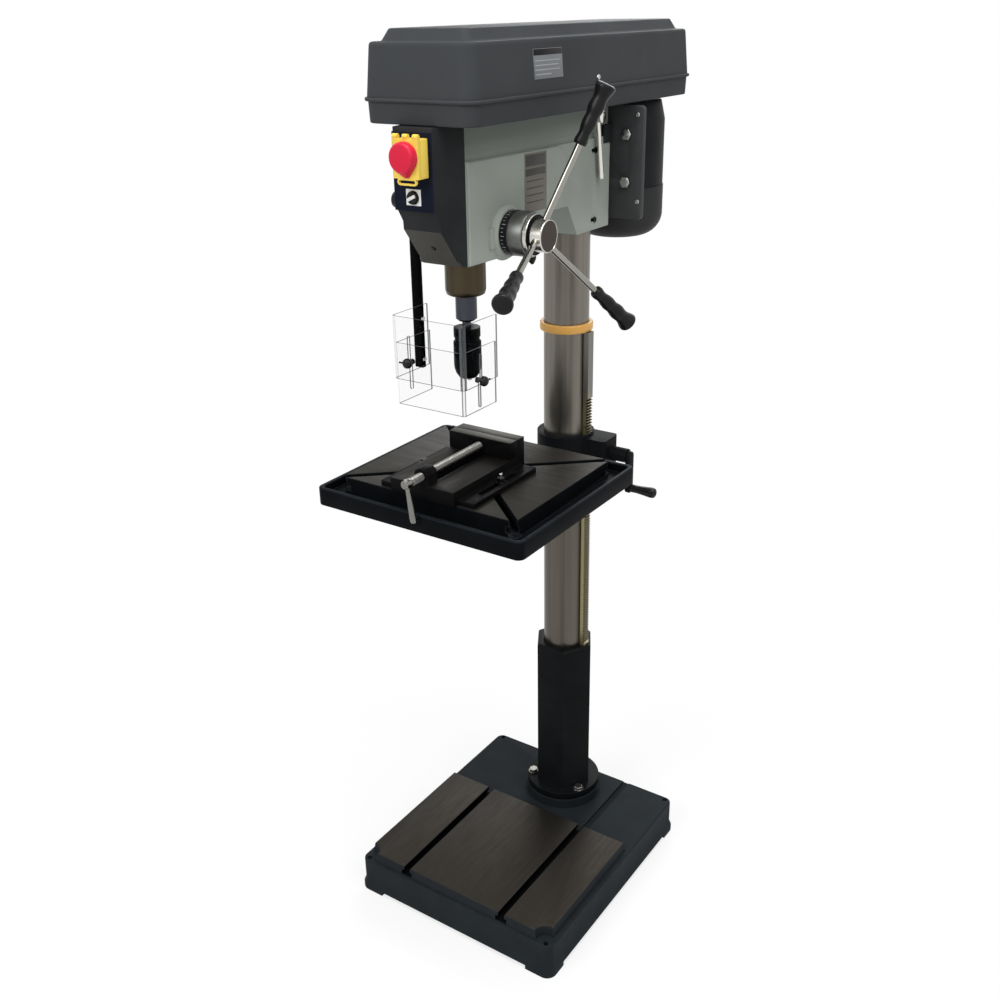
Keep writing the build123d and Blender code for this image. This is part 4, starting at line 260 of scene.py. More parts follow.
def settle(bm, name, body, slot, *materials, stands_for=(), sharp=32):
    """Makes a mesh drawn in millimetres a piece that rides on a CAD body; its slot is not used."""
    bmesh.ops.scale(bm, vec=(0.001, 0.001, 0.001), verts=bm.verts)
    mesh = bpy.data.meshes.new(name)
    bm.to_mesh(mesh)
    bm.free()
    for material in materials:
        mesh.materials.append(material)
    mesh.shade_smooth()
    mesh.set_sharp_from_angle(angle=radians(sharp))
    piece = bpy.data.objects.new(name, mesh)
    scene.collection.objects.link(piece)
    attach(piece, body)
    if stands_for:
        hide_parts(*stands_for)


def stand_in(bm, name, node, *materials):
    """Puts a mesh in the place of a CAD node, on the node's body."""
    settle(bm, name, body_of[node], slot_of[node], *materials, stands_for=[node])


def refined(node, name, width, *materials, segments=2):
    """Puts a copy of a CAD node with rounded edges in its place."""
    stand_in(round_edges(copied(node), width, segments), name, node, *materials)


# Structured paint gives a near-black blue skin, half matt, with a fine pebble and paler edges.
base_paint = coated(
    "blue_black_structured_paint", "#1f2326", "#23282b", "#34383b", 0.55, 1.6, 0.08, 0.04
)
# Planed grey iron looks brown-grey and half dull, with faint tool lines along the cut.
planed_iron = bare_metal("planed_cast_iron", "#34312d", "#2b2824", 0.52, (8, 80, 8), 0.4)
# Oil and dust darken the slots, and painted shade of the narrow slots makes them black and dull.
slot_oil_and_shade = coated("black_oiled_slot_painted_shade", "#08090a", "#0b0c0d", "#141617", 0.6, 1.5, 0.04, 0.02)
base_half, base_corner = Vector((253, 284)), 22
skirt_low, skirt_high, skirt_flare, flare_fades = 13, 25, 5, 40
pad_top, pad_back = 103, 61
bm = copied("base")
for height in (skirt_low, skirt_high):
    cut = bm.verts[:] + bm.edges[:] + bm.faces[:]
    bmesh.ops.bisect_plane(bm, geom=cut, plane_co=(0, 0, height), plane_no=(0, 0, 1), dist=0.01)
for vert in bm.verts:
    inside, out = from_outline(vert.co, base_half, base_corner)
    rise = min(1, max(0, (vert.co.z - skirt_low) / (skirt_high - skirt_low)))
    vert.co -= out * skirt_flare * rise * max(0, 1 - inside / flare_fades)
round_edges(bm, 1.2, 2, 40, lambda at: at.z > pad_top - 0.5 and at.y < pad_back)
finish_faces(bm, 1, lambda at, out: out.z > 0.5 and at.z > pad_top - 1.5 and at.y < pad_back)
slot_x, slot_half, slot_floor = 124, 14.2, 82.5


def in_slot(at, out):
    """True on the walls and ledges of the two T-slots, under the planed face."""
    sunk = slot_floor < at.z < pad_top - 1 and at.y < pad_back
    return sunk and abs(abs(at.x) - slot_x) < slot_half and abs(out.y) < 0.5


# Painted shade with oil: the slot walls and ledges take the near-black finish.
finish_faces(bm, 2, in_slot)
stand_in(bm, "base_casting", "base", base_paint, planed_iron, slot_oil_and_shade)

# Column support. A six-sided iron tube with a round flange, painted black, which three plated
# hexagon bolts with washers hold down on the base.
# Gloss paint on a casting: black, with soft lights along its edges.
support_paint = coated("black_gloss_paint", "#0e0f10", "#131516", "#26292b", 0.38, 1.2, 0.04, 0.05)
# Zinc plate: a bright, slightly blotched silver.
bright_zinc = bare_metal("bright_zinc_plate", "#c9c9c6", "#9a9a98", 0.22, (3, 3, 3), 0.5)
# Where the floor is near, the plate has gone dull and grey.
dull_zinc = bare_metal("dull_zinc_plate", "#7e7d78", "#5f5e5a", 0.34, (3, 3, 3), 0.5)


def turned(profile, at, along=(0, 0, 1), steps=48):
    """Spins a half section, pairs of radius and distance along the axis, into a round piece."""
    bm = bmesh.new()
    corners = [bm.verts.new((radius, 0, distance)) for radius, distance in profile]
    for one, other in zip(corners, corners[1:]):
        bm.edges.new((one, other))
    bmesh.ops.spin(
        bm, geom=bm.verts[:] + bm.edges[:], cent=(0, 0, 0), axis=(0, 0, 1), angle=2 * pi,
        steps=steps, use_merge=True,
    )
    bmesh.ops.remove_doubles(bm, verts=bm.verts, dist=0.005)
    bmesh.ops.recalc_face_normals(bm, faces=bm.faces)
    turn = Vector((0, 0, 1)).rotation_difference(Vector(along)).to_matrix().to_4x4()
    bmesh.ops.transform(bm, matrix=Matrix.Translation(at) @ turn, verts=bm.verts)
    return bm


def joined(*parts):
    """Brings several meshes together in the first one."""
    whole = parts[0]
    for part in parts[1:]:
        carrier = bpy.data.meshes.new("carrier")
        part.to_mesh(carrier)
        part.free()
        whole.from_mesh(carrier)
        bpy.data.meshes.remove(carrier)
    return whole


def hex_screw(at, along, flats, head, washer=0.0):
    """A hexagon head with a chamfered crown, on a washer where it has one."""
    corner, seat = flats / 3**0.5, 1.6 if washer else 0.0
    crown = [(0, seat), (corner, seat), (corner, head - 1), (corner * 0.86, head), (0, head)]
    parts = [turned(crown, at, along, 6)]
    if washer:
        disc = [(0, 0), (washer, 0), (washer, seat - 0.3), (washer - 0.4, seat), (0, seat)]
        parts.append(turned(disc, at, along, 32))
    return joined(*parts)


refined("column_support", "column_support_painted", 1.5, support_paint, segments=3)
column_y, flange_top, bolt_circle = 185, 120, 72
bolts = []
for angle in map(radians, (90, 210, 330)):
    at = (bolt_circle * cos(angle), column_y + bolt_circle * sin(angle), flange_top)
    bolts.append(hex_screw(at, (0, 0, 1), flats=19, head=8, washer=12))
stand_in(joined(*bolts), "flange_bolts_plated", "flange_bolts", dull_zinc)

# Column, rack and collar. The column is a steel tube ground along its length, the rack beside it
# is milled and passivated to a pale brass, and a yellow collar keeps the rack's top end.
# Ground tube: brown-grey steel with broad soft bands along its length.
ground_tube = bare_metal("ground_steel_tube", "#827e76", "#4a463f", 0.34, (20, 20, 1500), 0.7)
# Passivated steel: a dull olive gold, going over to grey from 1060 mm up to 1100 mm.
rack_steel = bare_metal("yellow_passivated_steel", "#a39a76", "#7a7152", 0.4, (2, 12, 2), 0.5)
# Tooth gaps are darker, and the teeth's tips are a pale cream.
rack_gap_colour = coated("dark_rack_gaps", "#2a261c", "#332e22", "#443e2e", 0.5, 1.5, 0.05, 0.1)
rack_tips = bare_metal("pale_rack_tips", "#c9c2a2", "#aaa282", 0.4, (2, 12, 2), 0.5)
# Enamel: an even warm yellow with a soft shine.
collar_yellow = coated("yellow_collar_enamel", "#dca552", "#e0ae62", "#eccf98", 0.4, 2.5, 0.05, 0.3)


def by_height(material, low, high, colour, share=1.0):
    """Lets a finish go over, wholly or in part, to a colour between two heights in millimetres."""
    tree = material.node_tree
    shader = next(node for node in tree.nodes if node.type == "BSDF_PRINCIPLED")
    height = add(tree, "SeparateXYZ", {0: add(tree, "TexCoord").outputs["Object"]}).outputs["Z"]
    change = {"Value": height, "From Min": low / 1000, "From Max": high / 1000, "To Max": share}
    change = add(tree, "MapRange", change).outputs[0]
    shades = {0: change, 6: shader.inputs["Base Color"].links[0].from_socket, 7: linear(colour)}
    shade = add(tree, "Mix", shades, data_type="RGBA").outputs[2]
    tree.links.new(shade, shader.inputs["Base Color"])


def dress(material, *nodes):
    """Gives CAD nodes that stay as they are their finish."""
    for node in nodes:
        mesh = frame["nodes"][node].data
        mesh.materials.clear()
        mesh.materials.append(material)


dress(ground_tube, "column")
# Painted shade: below the table, from 960 mm down to 900 mm, the tube darkens to a brown-grey.
by_height(ground_tube, 960, 900, "#4a443c", 0.6)
by_height(rack_steel, 1060, 1100, "#7b7872")
bm = copied("rack")
rack_tip = max(vert.co.x for vert in bm.verts)
tooth_root, tip_skin, teeth_end = 4.6, 0.2, 1081


def tooth_gap(at, out):
    """True on the flanks and floors between the teeth of the rack."""
    sunk = rack_tip - tooth_root < at.x < rack_tip - tip_skin
    return sunk and abs(out.y) < 0.5 and at.z < teeth_end


finish_faces(bm, 1, tooth_gap)
finish_faces(bm, 2, lambda at, out: at.x > rack_tip - tip_skin and at.z < teeth_end)
stand_in(bm, "rack_milled", "rack", rack_steel, rack_gap_colour, rack_tips)
refined("rack_collar", "rack_collar_enamelled", 1.2, collar_yellow)

# Table bracket. A black iron casting that clasps the column, with a gear case on the right for the
# lifting worm, clamp ears behind with a locking lever, and an arm with a face for the table.
# Casting paint: black and half matt, a little rough to the touch, and paler along the edges,
# partly with wear and partly with painted highlight.
iron_paint = coated("black_casting_paint", "#0d0e10", "#121416", "#2a2d30", 0.45, 1.5, 0.07, 0.03)
# Turned steel: mid grey with fine rings.
cut_steel = bare_metal("turned_steel", "#a8a6a2", "#7e7c79", 0.3, (1.5, 12, 12), 0.7)
refined("table_bracket", "table_bracket_painted", 2.5, iron_paint, segments=3)
refined("column_lock", "column_lock_plated", 0.8, bright_zinc)
dress(cut_steel, "lift_gear")
refined("tilt_bolt", "tilt_bolt_plated", 0.8, bright_zinc)

# Table crank. A flat painted arm on the worm shaft, with a plastic grip that spins on its pin.
# Moulded phenolic plastic: deep black with small soft lights.
black_plastic = coated(
    "moulded_black_plastic", "#0c0c0d", "#121213", "#232324", 0.34, 2.0, 0.03, 0.2
)
refined("table_crank", "table_crank_painted", 1.2, iron_paint)
crank_grip = [
    (4.1, 146.7), (7.2, 146.7), (8.2, 147.8), (8.4, 153), (8.2, 161), (8.8, 171), (10.0, 183),
    (11.0, 193), (10.9, 198), (9.8, 201.8), (7.2, 203.7), (4.1, 204.3),
]
grip = turned(crank_grip, (0, 206.5, 894.6), (1, 0, 0), 40)
stand_in(grip, "crank_grip_moulded", "crank_grip", black_plastic)

# Table. An iron casting with a raised rim, a coolant trough and a planed platform with four
# diagonal slots; a drain boss stands in the right front corner of the trough.
# Table paint: blue-black, its edges paler with wear and painted highlight, and the rim's top in a
# paler copy that is a painted highlight.
table_paint = coated(
    "black_table_paint", "#0a0c0e", "#0f1114", "#363b41", 0.42, 1.5, 0.06, 0.02, wear_and_highlight_share=0.7
)
rim_highlight_paint = coated("rim_top_painted_highlight", "#13161a", "#181c20", "#2a2f35", 0.45, 1.5, 0.05, 0.03)
# Planed iron again, darker with oil and cut across the drill.
planed_table = bare_metal("planed_table_top", "#2c2a26", "#262420", 0.55, (80, 8, 8), 0.4)
rim_top, rim_bottom, platform_top = 1011, 976, 1028
inner_side, inner_back, inner_front = 220, 60, -330


def foot_edge(at):
    """True on the lower edges round the outside of the table."""
    outside = abs(at.x) > inner_side or at.y > inner_back or at.y < inner_front
    return at.z < rim_bottom + 0.5 and outside


bm = copied("table")
round_edges(bm, 2.5, 3, 40, lambda at: rim_top - 1 < at.z < rim_top + 1)
round_edges(bm, 1.2, 2, 40, lambda at: at.z > platform_top - 1)
round_edges(bm, 2, 2, 60, foot_edge)
finish_faces(bm, 1, lambda at, out: out.z > 0.5 and at.z > platform_top - 1.5)
# Painted highlight: the faces turned up along the rim's top take the paler rim paint.
finish_faces(bm, 2, lambda at, out: out.z > 0.25 and rim_top - 2.6 < at.z < rim_top + 0.5)
stand_in(bm, "table_casting", "table", table_paint, planed_table, rim_highlight_paint)
drain = [(4.5, 996), (4.5, 1003), (5.5, 1004), (11, 1004), (12.5, 1002.5), (14, 994.5)]
settle(turned(drain, (193, -304, 0)), "drain_boss", "work_table", "base_paint", table_paint)

# Drill vise. A black iron body with planed rails, held through its flange slots by bolts, a moving
# jaw, and a plated screw that runs through a nut at the front, with a handle hanging from its hub.
# Casting paint: black and half matt, grey along the edges with wear and painted highlight.
vise_paint = coated("black_vise_paint", "#0a0a0b", "#0f0f10", "#242628", 0.45, 1.5, 0.06, 0.03)
# Planed rails are darkened by oil, and the ground jaw tops stay paler.
rail_iron = bare_metal("oiled_vise_rails", "#201e1b", "#191815", 0.5, (6, 60, 6), 0.4)
jaw_iron = bare_metal("ground_vise_jaws", "#2a2822", "#24211c", 0.45, (60, 6, 6), 0.4)
# Plated screw: bright silver with dark thread grooves.
screw_plate = bare_metal("plated_vise_screw", "#8f8e8a", "#5e5c58", 0.26, (2, 1.2, 2), 0.7)
rail_top, jaw_top, flange_face = 1055, 1088, 1037
for node, name in (("vise_body", "vise_body_painted"), ("vise_jaw", "vise_jaw_painted")):
    bm = round_edges(copied(node), 1.2)
    finish_faces(bm, 1, lambda at, out: out.z > 0.9 and abs(at.z - rail_top) < 0.5)
    finish_faces(bm, 2, lambda at, out: out.z > 0.7 and at.z > jaw_top - 1.5)
    stand_in(bm, name, node, vise_paint, rail_iron, jaw_iron)
thread_start, thread_end, thread_pitch, thread_depth = -338, -131, 3, 0.7
screw_y, screw_z, screw_radius, screw_end = -350, 1071, 8, -118.3
crest_end, groove_start, groove_end = 1.2, 1.8, 2.4
thread = [(0, screw_end), (screw_radius, screw_end), (screw_radius, thread_end)]
for turn in range(int((thread_end - thread_start) / thread_pitch)):
    crest = thread_end - turn * thread_pitch
    thread += [(screw_radius, crest - crest_end)]
    thread += [(screw_radius - thread_depth, crest - edge) for edge in (groove_start, groove_end)]
hub = [
    (6.6, -338), (6.6, -341), (7.6, -341), (8.2, -342), (8.2, -346), (7.4, -348), (7.4, -351),
    (8, -353), (8, -356), (6.8, -357.4), (0, -357.6),
]
handle = [
    (0, 9), (3.2, 9), (3.8, 8), (4.0, 0), (4.2, -14), (4.6, -24), (5.8, -42), (6.6, -62),
    (6.4, -68), (5.2, -71), (2.6, -72), (0, -72),
]
handle_lean = radians(10)
screw = joined(
    turned(thread + hub, (0, 0, screw_z), (0, 1, 0), 32),
    turned(handle, (0, screw_y, screw_z), (-sin(handle_lean), 0, cos(handle_lean)), 24),
)
stand_in(screw, "vise_screw_plated", "vise_screw", screw_plate)
# Black oxide on steel: blue-black with a faint shine.
black_oxide = bare_metal("black_oxide_steel", "#2a2a2b", "#1a1a1b", 0.35, (2, 2, 2), 0.6)
clamp_x, clamp_y = 87, -188
clamps = []
for side in (-1, 1):
    clamp_place = (side * clamp_x, clamp_y, flange_face)
    clamps.append(hex_screw(clamp_place, (0, 0, 1), flats=13, head=9, washer=11))
stud = [(0, 8), (3, 8), (3, 15.4), (2.4, 16), (0, 16)]
stud = turned(stud, clamp_place, steps=16)
finish_faces(stud, 1)
clamps = joined(*clamps, stud)
settle(clamps, "vise_clamp_bolts", body_of["vise_body"], "bright_steel", black_oxide, bright_zinc)

# Head. A light grey-green painted iron casting: its sides stand proud below a ridge and end in
# front of the column clamp. It carries a bare label plate, a pointer block and black set screws.
# Casting paint: pale grey-green, half matt, slightly uneven.
head_paint = coated(
    "light_grey_casting_paint", "#939991", "#8a9088", "#a6aba4", 0.5, 2.2, 0.1, 0.12, 120
)
# Printed foil: a warm grey plate with dark bands.
foil_grey = coated("printed_grey_foil", "#6f6b64", "#67635c", "#7d7972", 0.4, 2.0, 0.02, 0.15)
foil_dark = coated("printed_dark_foil", "#3c3b38", "#454440", "#4f4e4a", 0.4, 2.0, 0.02, 0.15)
head_front, front_half, side_slope, side_proud = -220, 50, 14 / 330, 4
ridge_top, head_bottom = 1596.6, 1428.4


def block(low, high, rounding=0.8, segments=2):
    """A block between two corners, with its edges rounded."""
    low, high = Vector(low), Vector(high)
    bm = bmesh.new()
    bmesh.ops.create_cube(bm, size=1)
    bmesh.ops.scale(bm, vec=high - low, verts=bm.verts)
    bmesh.ops.translate(bm, vec=(low + high) / 2, verts=bm.verts)
    return round_edges(bm, rounding, segments)


def on_head_side(bm, side=1):
    """Moves a piece drawn with its foot at x = 0 on to the sloping side of the head."""
    for vert in bm.verts:
        vert.co.x = side * (vert.co.x + front_half + (vert.co.y - head_front) * side_slope)
    bmesh.ops.recalc_face_normals(bm, faces=bm.faces)
    return bm


# Painted shade darkens the band under the guard, and the paint goes paler towards its lower edge.
by_height(head_paint, 1597, 1608, "#7c827a", 0.8)
by_height(head_paint, 1510, 1440, "#9ba199", 0.8)
bm = round_edges(copied("head_casting"), 2.5, 3)
stand_in(bm, "head_casting_painted", "head_casting", head_paint)
side_outline = [(-217, ridge_top), (-217, head_bottom), (-51, head_bottom), (9, 1486), (80, 1486)]
side_outline += [(76, 1560), (72, 1573), (65, 1583), (55, 1591), (44, ridge_top)]
sides = []
for side in (-1, 1):
    bm = bmesh.new()
    face = bm.faces.new([bm.verts.new((-2, y, z)) for y, z in side_outline])
    raised = bmesh.ops.extrude_face_region(bm, geom=[face])["geom"]
    raised = [vert for vert in raised if isinstance(vert, bmesh.types.BMVert)]
    bmesh.ops.translate(bm, vec=(2 + side_proud, 0, 0), verts=raised)
    bmesh.ops.recalc_face_normals(bm, faces=bm.faces)
    sides.append(on_head_side(round_edges(bm, 3.4, 5, 40), side))
settle(joined(*sides), "head_raised_sides", "stand", "head_paint", head_paint)
pointer = on_head_side(block((-1, -166, 1449), (9, -146, 1483), 1.5, 3))
settle(pointer, "depth_pointer_block", "stand", "head_paint", head_paint)
plate_low, plate_high, plate_front, plate_back = 1493, 1593, -61, 6
low, high = (1, plate_front, plate_low), (side_proud + 0.4, plate_back, plate_high)
plates = [on_head_side(block(low, high, 0.2))]
for foot, top, front, back, proud in (
    (78, 97, 3, 4, 0.55), (62, 74, 3, 4, 0.55), (52, 54.2, 6, 10, 0.5),
    (40, 42.2, 6, 10, 0.5), (28, 30.2, 6, 10, 0.5), (16, 18.2, 6, 10, 0.5),
):
    low = (1, plate_front + front, plate_low + foot)
    high = (side_proud + proud, plate_back - back, plate_low + top)
    band = block(low, high, 0.1)
    finish_faces(band, 1)
    plates.append(on_head_side(band))
settle(joined(*plates), "head_label_plate", "stand", "head_paint", foil_grey, foil_dark)
set_screw = [
    (0, 1), (2.6, 1), (2.6, 3), (5.2, 3), (5.6, 2.4), (5.6, 0.2), (5, 0), (5, -16.6), (0, -16.6),
]
screws = [turned(set_screw, (64, 178, height), (1, 0, 0), 6) for height in (1447, 1575)]
stand_in(joined(*screws), "head_set_screws", "head_screws", black_oxide)

# Front cover. A black pressed cover on the head's front, its sloping lower face held by a screw.
# Powder coat: charcoal, matt, with a fine grain.
cover_paint = coated("charcoal_powder_coat", "#252627", "#2a2b2c", "#3c3e40", 0.55, 1.4, 0.06, 0.06)
# The slope under it faces down and forward and takes a paler coat: painted light.
slope_light_paint = coated("powder_coat_painted_light", "#3f3e3a", "#464540", "#54534d", 0.5, 1.4, 0.05, 0.06)
bm = round_edges(copied("front_cover"), 2.5, 3)
cover_chin = 1492
# Painted light: the faces turned down and forward below the chin take the paler coat.
finish_faces(bm, 1, lambda at, out: out.y < -0.6 and out.z < -0.4 and at.z < cover_chin)
stand_in(bm, "front_cover_painted", "front_cover", cover_paint, slope_light_paint)
slope_out = Vector((0, -0.794, -0.608))
pan_screw = [(0, 0.4), (0.8, 0.4), (0.8, 2.2), (3.2, 2.2), (4.4, 1.4), (4.8, 0), (0, -3)]
screw = turned(pan_screw, Vector((3, -250.5, 1460)), slope_out, 24)
settle(screw, "front_cover_screw", "stand", "bright_steel", black_oxide)

# Switch. A navy plate with a yellow box, a hinged yellow stop flap with a wire loop and a red
# mushroom, and below it a white plate with a black selector knob.
# Moulded plastics: even colours with a soft shine and a very fine grain.
navy = coated("moulded_navy_plastic", "#10141f", "#141926", "#2a3248", 0.5, 1.8, 0.04, 0.04)
yellow = coated("moulded_yellow_plastic", "#ecce5e", "#e8c852", "#f2dc88", 0.4, 2.2, 0.03, 0.2)
red = coated("moulded_red_plastic", "#d0203f", "#c81c3a", "#e04a62", 0.36, 2.2, 0.03, 0.2)
green = coated("moulded_green_plastic", "#1d8a3c", "#1a8037", "#4aa865", 0.36, 2.2, 0.03, 0.2)
white = coated("moulded_white_plastic", "#dcdcda", "#d4d4d2", "#e6e6e4", 0.4, 2.2, 0.02, 0.2)
box_x, box_z, plate_face = 7, 1610, -293
box_inner_width, box_inner_height, ring_steps = 24, 29, 32


def rounded_ring(bm, half_width, half_length, corner, middle, height):
    """A level loop of edges round a rectangle with round corners, about a middle, at a height."""
    half_step = Matrix.Rotation(pi / ring_steps, 4, "Z")
    made = bmesh.ops.create_circle(bm, segments=ring_steps, radius=corner, matrix=half_step)
    for vert in made["verts"]:
        vert.co.x += (half_width - corner) * (1 if vert.co.x > 0 else -1)
        vert.co.y += (half_length - corner) * (1 if vert.co.y > 0 else -1)
    bmesh.ops.translate(bm, vec=(middle[0], middle[1], height), verts=made["verts"])
    ring = set(made["verts"])
    return [edge for edge in bm.edges if ring.issuperset(edge.verts)]


def lofted(bm, rings):
    """Joins each loop to the next one by a band of faces."""
    for one, other in zip(rings, rings[1:]):
        bmesh.ops.bridge_loops(bm, edges=one + other)


def swung(bm, degrees, axis):
    """Turns a mesh about an axis through the origin."""
    turn = Matrix.Rotation(radians(degrees), 3, axis)
    bmesh.ops.rotate(bm, cent=(0, 0, 0), matrix=turn, verts=bm.verts)


def box_edge(at):
    """True on the outer edges of the yellow box, in front of its plate."""
    outside = abs(at.x - box_x) > box_inner_width or abs(at.z - box_z) > box_inner_height
    return at.y < plate_face - 1 and outside


bm = copied("switch_box")
round_edges(bm, 1.5, 3, 40, box_edge)
finish_faces(bm, 1, lambda at, out: at.y < plate_face - 0.5)
stand_in(bm, "switch_housing", "switch_box", navy, yellow)
flap = round_edges(copied("stop_flap"), 1.5, 3)
loop = bmesh.new()
loop_rings = [
    rounded_ring(loop, half, half - 13.5, corner, (box_x, 1575.5), depth)
    for half, corner, depth in ((19, 5.4, 313), (19, 5.4, 317), (16, 2.4, 317), (16, 2.4, 313))
]
lofted(loop, loop_rings + loop_rings[:1])
swung(loop, 90, "X")
bmesh.ops.recalc_face_normals(loop, faces=loop.faces)
stand_in(joined(flap, loop), "stop_flap_moulded", "stop_flap", yellow)
cap = bmesh.new()
for radius, x, z, y in (
    (24, 7, 1613, -318.6), (24, 7, 1613, -328), (23, 7, 1613, -331), (21, 7, 1613, -332.8),
    (18, 7, 1613, -333.3), (7.5, 9, 1589, -318.6), (7, 9, 1589, -322), (5.5, 9, 1589, -324),
):
    face = Matrix.Translation((x, y, z)) @ Matrix.Rotation(radians(90), 4, "X")
    bmesh.ops.create_circle(cap, segments=40, radius=radius, matrix=face)
bmesh.ops.convex_hull(cap, input=cap.verts[:])
stem = turned([(0, 318.2), (9, 318.2), (9, 320), (0, 320)], (7, 0, 1615), (0, -1, 0))
stand_in(joined(cap, stem), "stop_mushroom_moulded", "stop_mushroom", red)
refined("start_button", "start_button_moulded", 1.0, green)
foil = block((-15, plate_face - 0.25, 1535.5), (14.7, plate_face + 0.4, 1561), 0.15)
settle(foil, "selector_plate", "stand", "navy_plastic", white)
selector_z = 1548
knob = [(0, 293.4), (10.6, 293.4), (11, 294), (10.4, 298), (9.4, 299.6), (0, 299.8)]
knob = turned(knob, (0, 0, selector_z), (0, -1, 0), 40)
bar = block((-8.5, -301.3, -2.6), (8.5, -299, 2.6), 0.8)
finish_faces(bar, 1)
swung(bar, -25, "Y")
bmesh.ops.translate(bar, vec=(0, 0, selector_z), verts=bar.verts)
stand_in(joined(knob, bar), "selector_knob_moulded", "selector_knob", black_plastic, white)

# Belt guard. A pressed steel pan and a drawn lid with a raised top, in dark grey structured paint;
# the pan's lip is rolled outwards to a bead on which the lid closes, and the lid swings on two
# knuckles.
# Structured paint: dark neutral grey, matt, with a fine even pebble.
guard_paint = coated(
    "dark_grey_structured_paint", "#393b3d", "#3e4042", "#4a4d4f", 0.6, 1.3, 0.1, 0.06, 150
)
# Printed foil on the lid: mid grey with a black head band and thin paler lines.
foil_mid = coated("printed_mid_foil", "#74777a", "#6d7073", "#85888b", 0.4, 2.0, 0.02, 0.15)
foil_black = coated("printed_black_foil", "#1a1818", "#1f1d1d", "#2a2828", 0.4, 2.0, 0.02, 0.1)
foil_line = coated("printed_pale_foil", "#989a9a", "#909292", "#a4a6a6", 0.4, 2.0, 0.02, 0.15)
lid_half, lid_middle, lid_half_length, lid_corner, corner_closes = 112, 102, 382, 30, 0.45
lid_foot, lid_fold, lid_lean = 1695.8, 1778, 6.45
lid_outside = [
    (0, lid_foot), (5.9, 1771), (6.4, 1774.5), (7.9, 1777), (10.5, lid_fold), (20.5, lid_fold),
    (22.5, 1778.8), (24.2, 1781), (31.5, 1794), (33, 1796.2), (35.5, 1797),
]
lid_inside = [
    (2.5, lid_foot), (8.4, 1770), (9.2, 1773), (11, 1775.2), (20.8, 1775.5), (24.2, 1777),
    (26.5, 1780), (33.4, 1792.5), (36, 1794.5),
]
lid = bmesh.new()
skins = []
for profile in (lid_outside, lid_inside):
    rings = [
        rounded_ring(
            lid, lid_half - inset, lid_half_length - inset, lid_corner - corner_closes * inset,
            (0, lid_middle), height,
        )
        for inset, height in profile
    ]
    lofted(lid, rings)
    bmesh.ops.contextual_create(lid, geom=rings[-1])
    skins.append(rings[0])
lofted(lid, skins)
bmesh.ops.recalc_face_normals(lid, faces=lid.faces)
knuckle_x, knuckle_z, knuckle_half = -122, 1692.5, 24.7
knuckle_bore, knuckle_radius = 3.1, 5.5
sleeve = [(knuckle_bore, -knuckle_half), (knuckle_radius, -knuckle_half)]
sleeve += [(knuckle_radius, knuckle_half), (knuckle_bore, knuckle_half), sleeve[0]]
hinge_places, post_side, post_room = (-100, 300), -100, 45
knuckles = []
for place in hinge_places:
    knuckles.append(turned(sleeve, (knuckle_x, place, knuckle_z), (0, 1, 0), 24))
    low, high = (-124.5, place - knuckle_half, 1696.1), (-110.6, place + knuckle_half, 1698.3)
    knuckles.append(block(low, high, 0.5))
stand_in(joined(lid, *knuckles), "belt_guard_lid_pressed", "belt_guard_lid", guard_paint)


def on_lid_side(bm):
    """Moves a piece drawn with its foot at x = 0 on to the leaning right side of the lid."""
    for vert in bm.verts:
        vert.co.x += lid_half - (vert.co.z - lid_foot) * lid_lean / (lid_fold - lid_foot)
    return bm


tag_low, tag_high, tag_front, tag_back = 1716, 1762, -105, -16
tag = [on_lid_side(block((-0.5, tag_front, tag_low), (0.3, tag_back, tag_high), 0.15))]
for low, high, front, back, tint in (
    (1752, 1761.4, 0.6, 88.4, 1), (1743, 1744.6, 4, 82, 2), (1736, 1737.6, 4, 76, 2),
    (1729, 1730.6, 4, 80, 2), (1722, 1723.6, 4, 52, 2),
):
    line = block((-0.5, tag_front + front, low), (0.45, tag_front + back, high), 0.1)
    finish_faces(line, tint)
    tag.append(on_lid_side(line))
settle(joined(*tag), "lid_label_plate", "guard_lid", "guard_paint", foil_mid, foil_black, foil_line)
lid_screw = turned(pan_screw, (110.8, 103, 1708.6), (0.997, 0, 0.078), 24)
settle(lid_screw, "lid_screw", "guard_lid", "bright_steel", bright_zinc)
pan_low, lip_low, pan_taper, pan_half = 1656, 1689.5, 1.4, Vector((111, 381))
bm = copied("belt_guard_pan")
for vert in bm.verts:
    inside, out = from_outline(vert.co, pan_half, lid_corner, lid_middle)
    if vert.co.z < lip_low - 0.5 and -0.5 < inside < 3.6:
        vert.co -= out * pan_taper * (lip_low - vert.co.z) / (lip_low - pan_low)


def pan_edge(at):
    """True on the pan's outer bottom edge and on the bead, away from the hinge posts."""
    post = at.x < post_side and min(abs(at.y - place) for place in hinge_places) < post_room
    inside = from_outline(at, pan_half, lid_corner, lid_middle)[0]
    low = at.z < pan_low + 0.5 and inside < 5
    bead = at.z > lip_low - 0.5 and inside < -4
    return (low or bead) and not post


round_edges(bm, 2.4, 4, 40, pan_edge)
stand_in(bm, "belt_guard_pan_pressed", "belt_guard_pan", guard_paint)

# Belt drive inside the guard. Turned aluminium step pulleys, rubber belts and a swinging idler arm.
# Turned aluminium: pale silver with fine rings round the axis.
turned_alloy = bare_metal("turned_aluminium", "#9a9b9c", "#858687", 0.38, (90, 90, 0.8), 0.5, 0.002)
# Belt rubber: charcoal and dull.
rubber = coated("belt_rubber", "#161616", "#1c1c1c", "#262626", 0.75, 0.9, 0.1, 0.1)
dress(turned_alloy, "motor_pulley", "idler_pulley", "spindle_pulley")
dress(rubber, "spindle_belt", "motor_belt")
refined("idler_arm", "idler_arm_painted", 1.2, iron_paint)
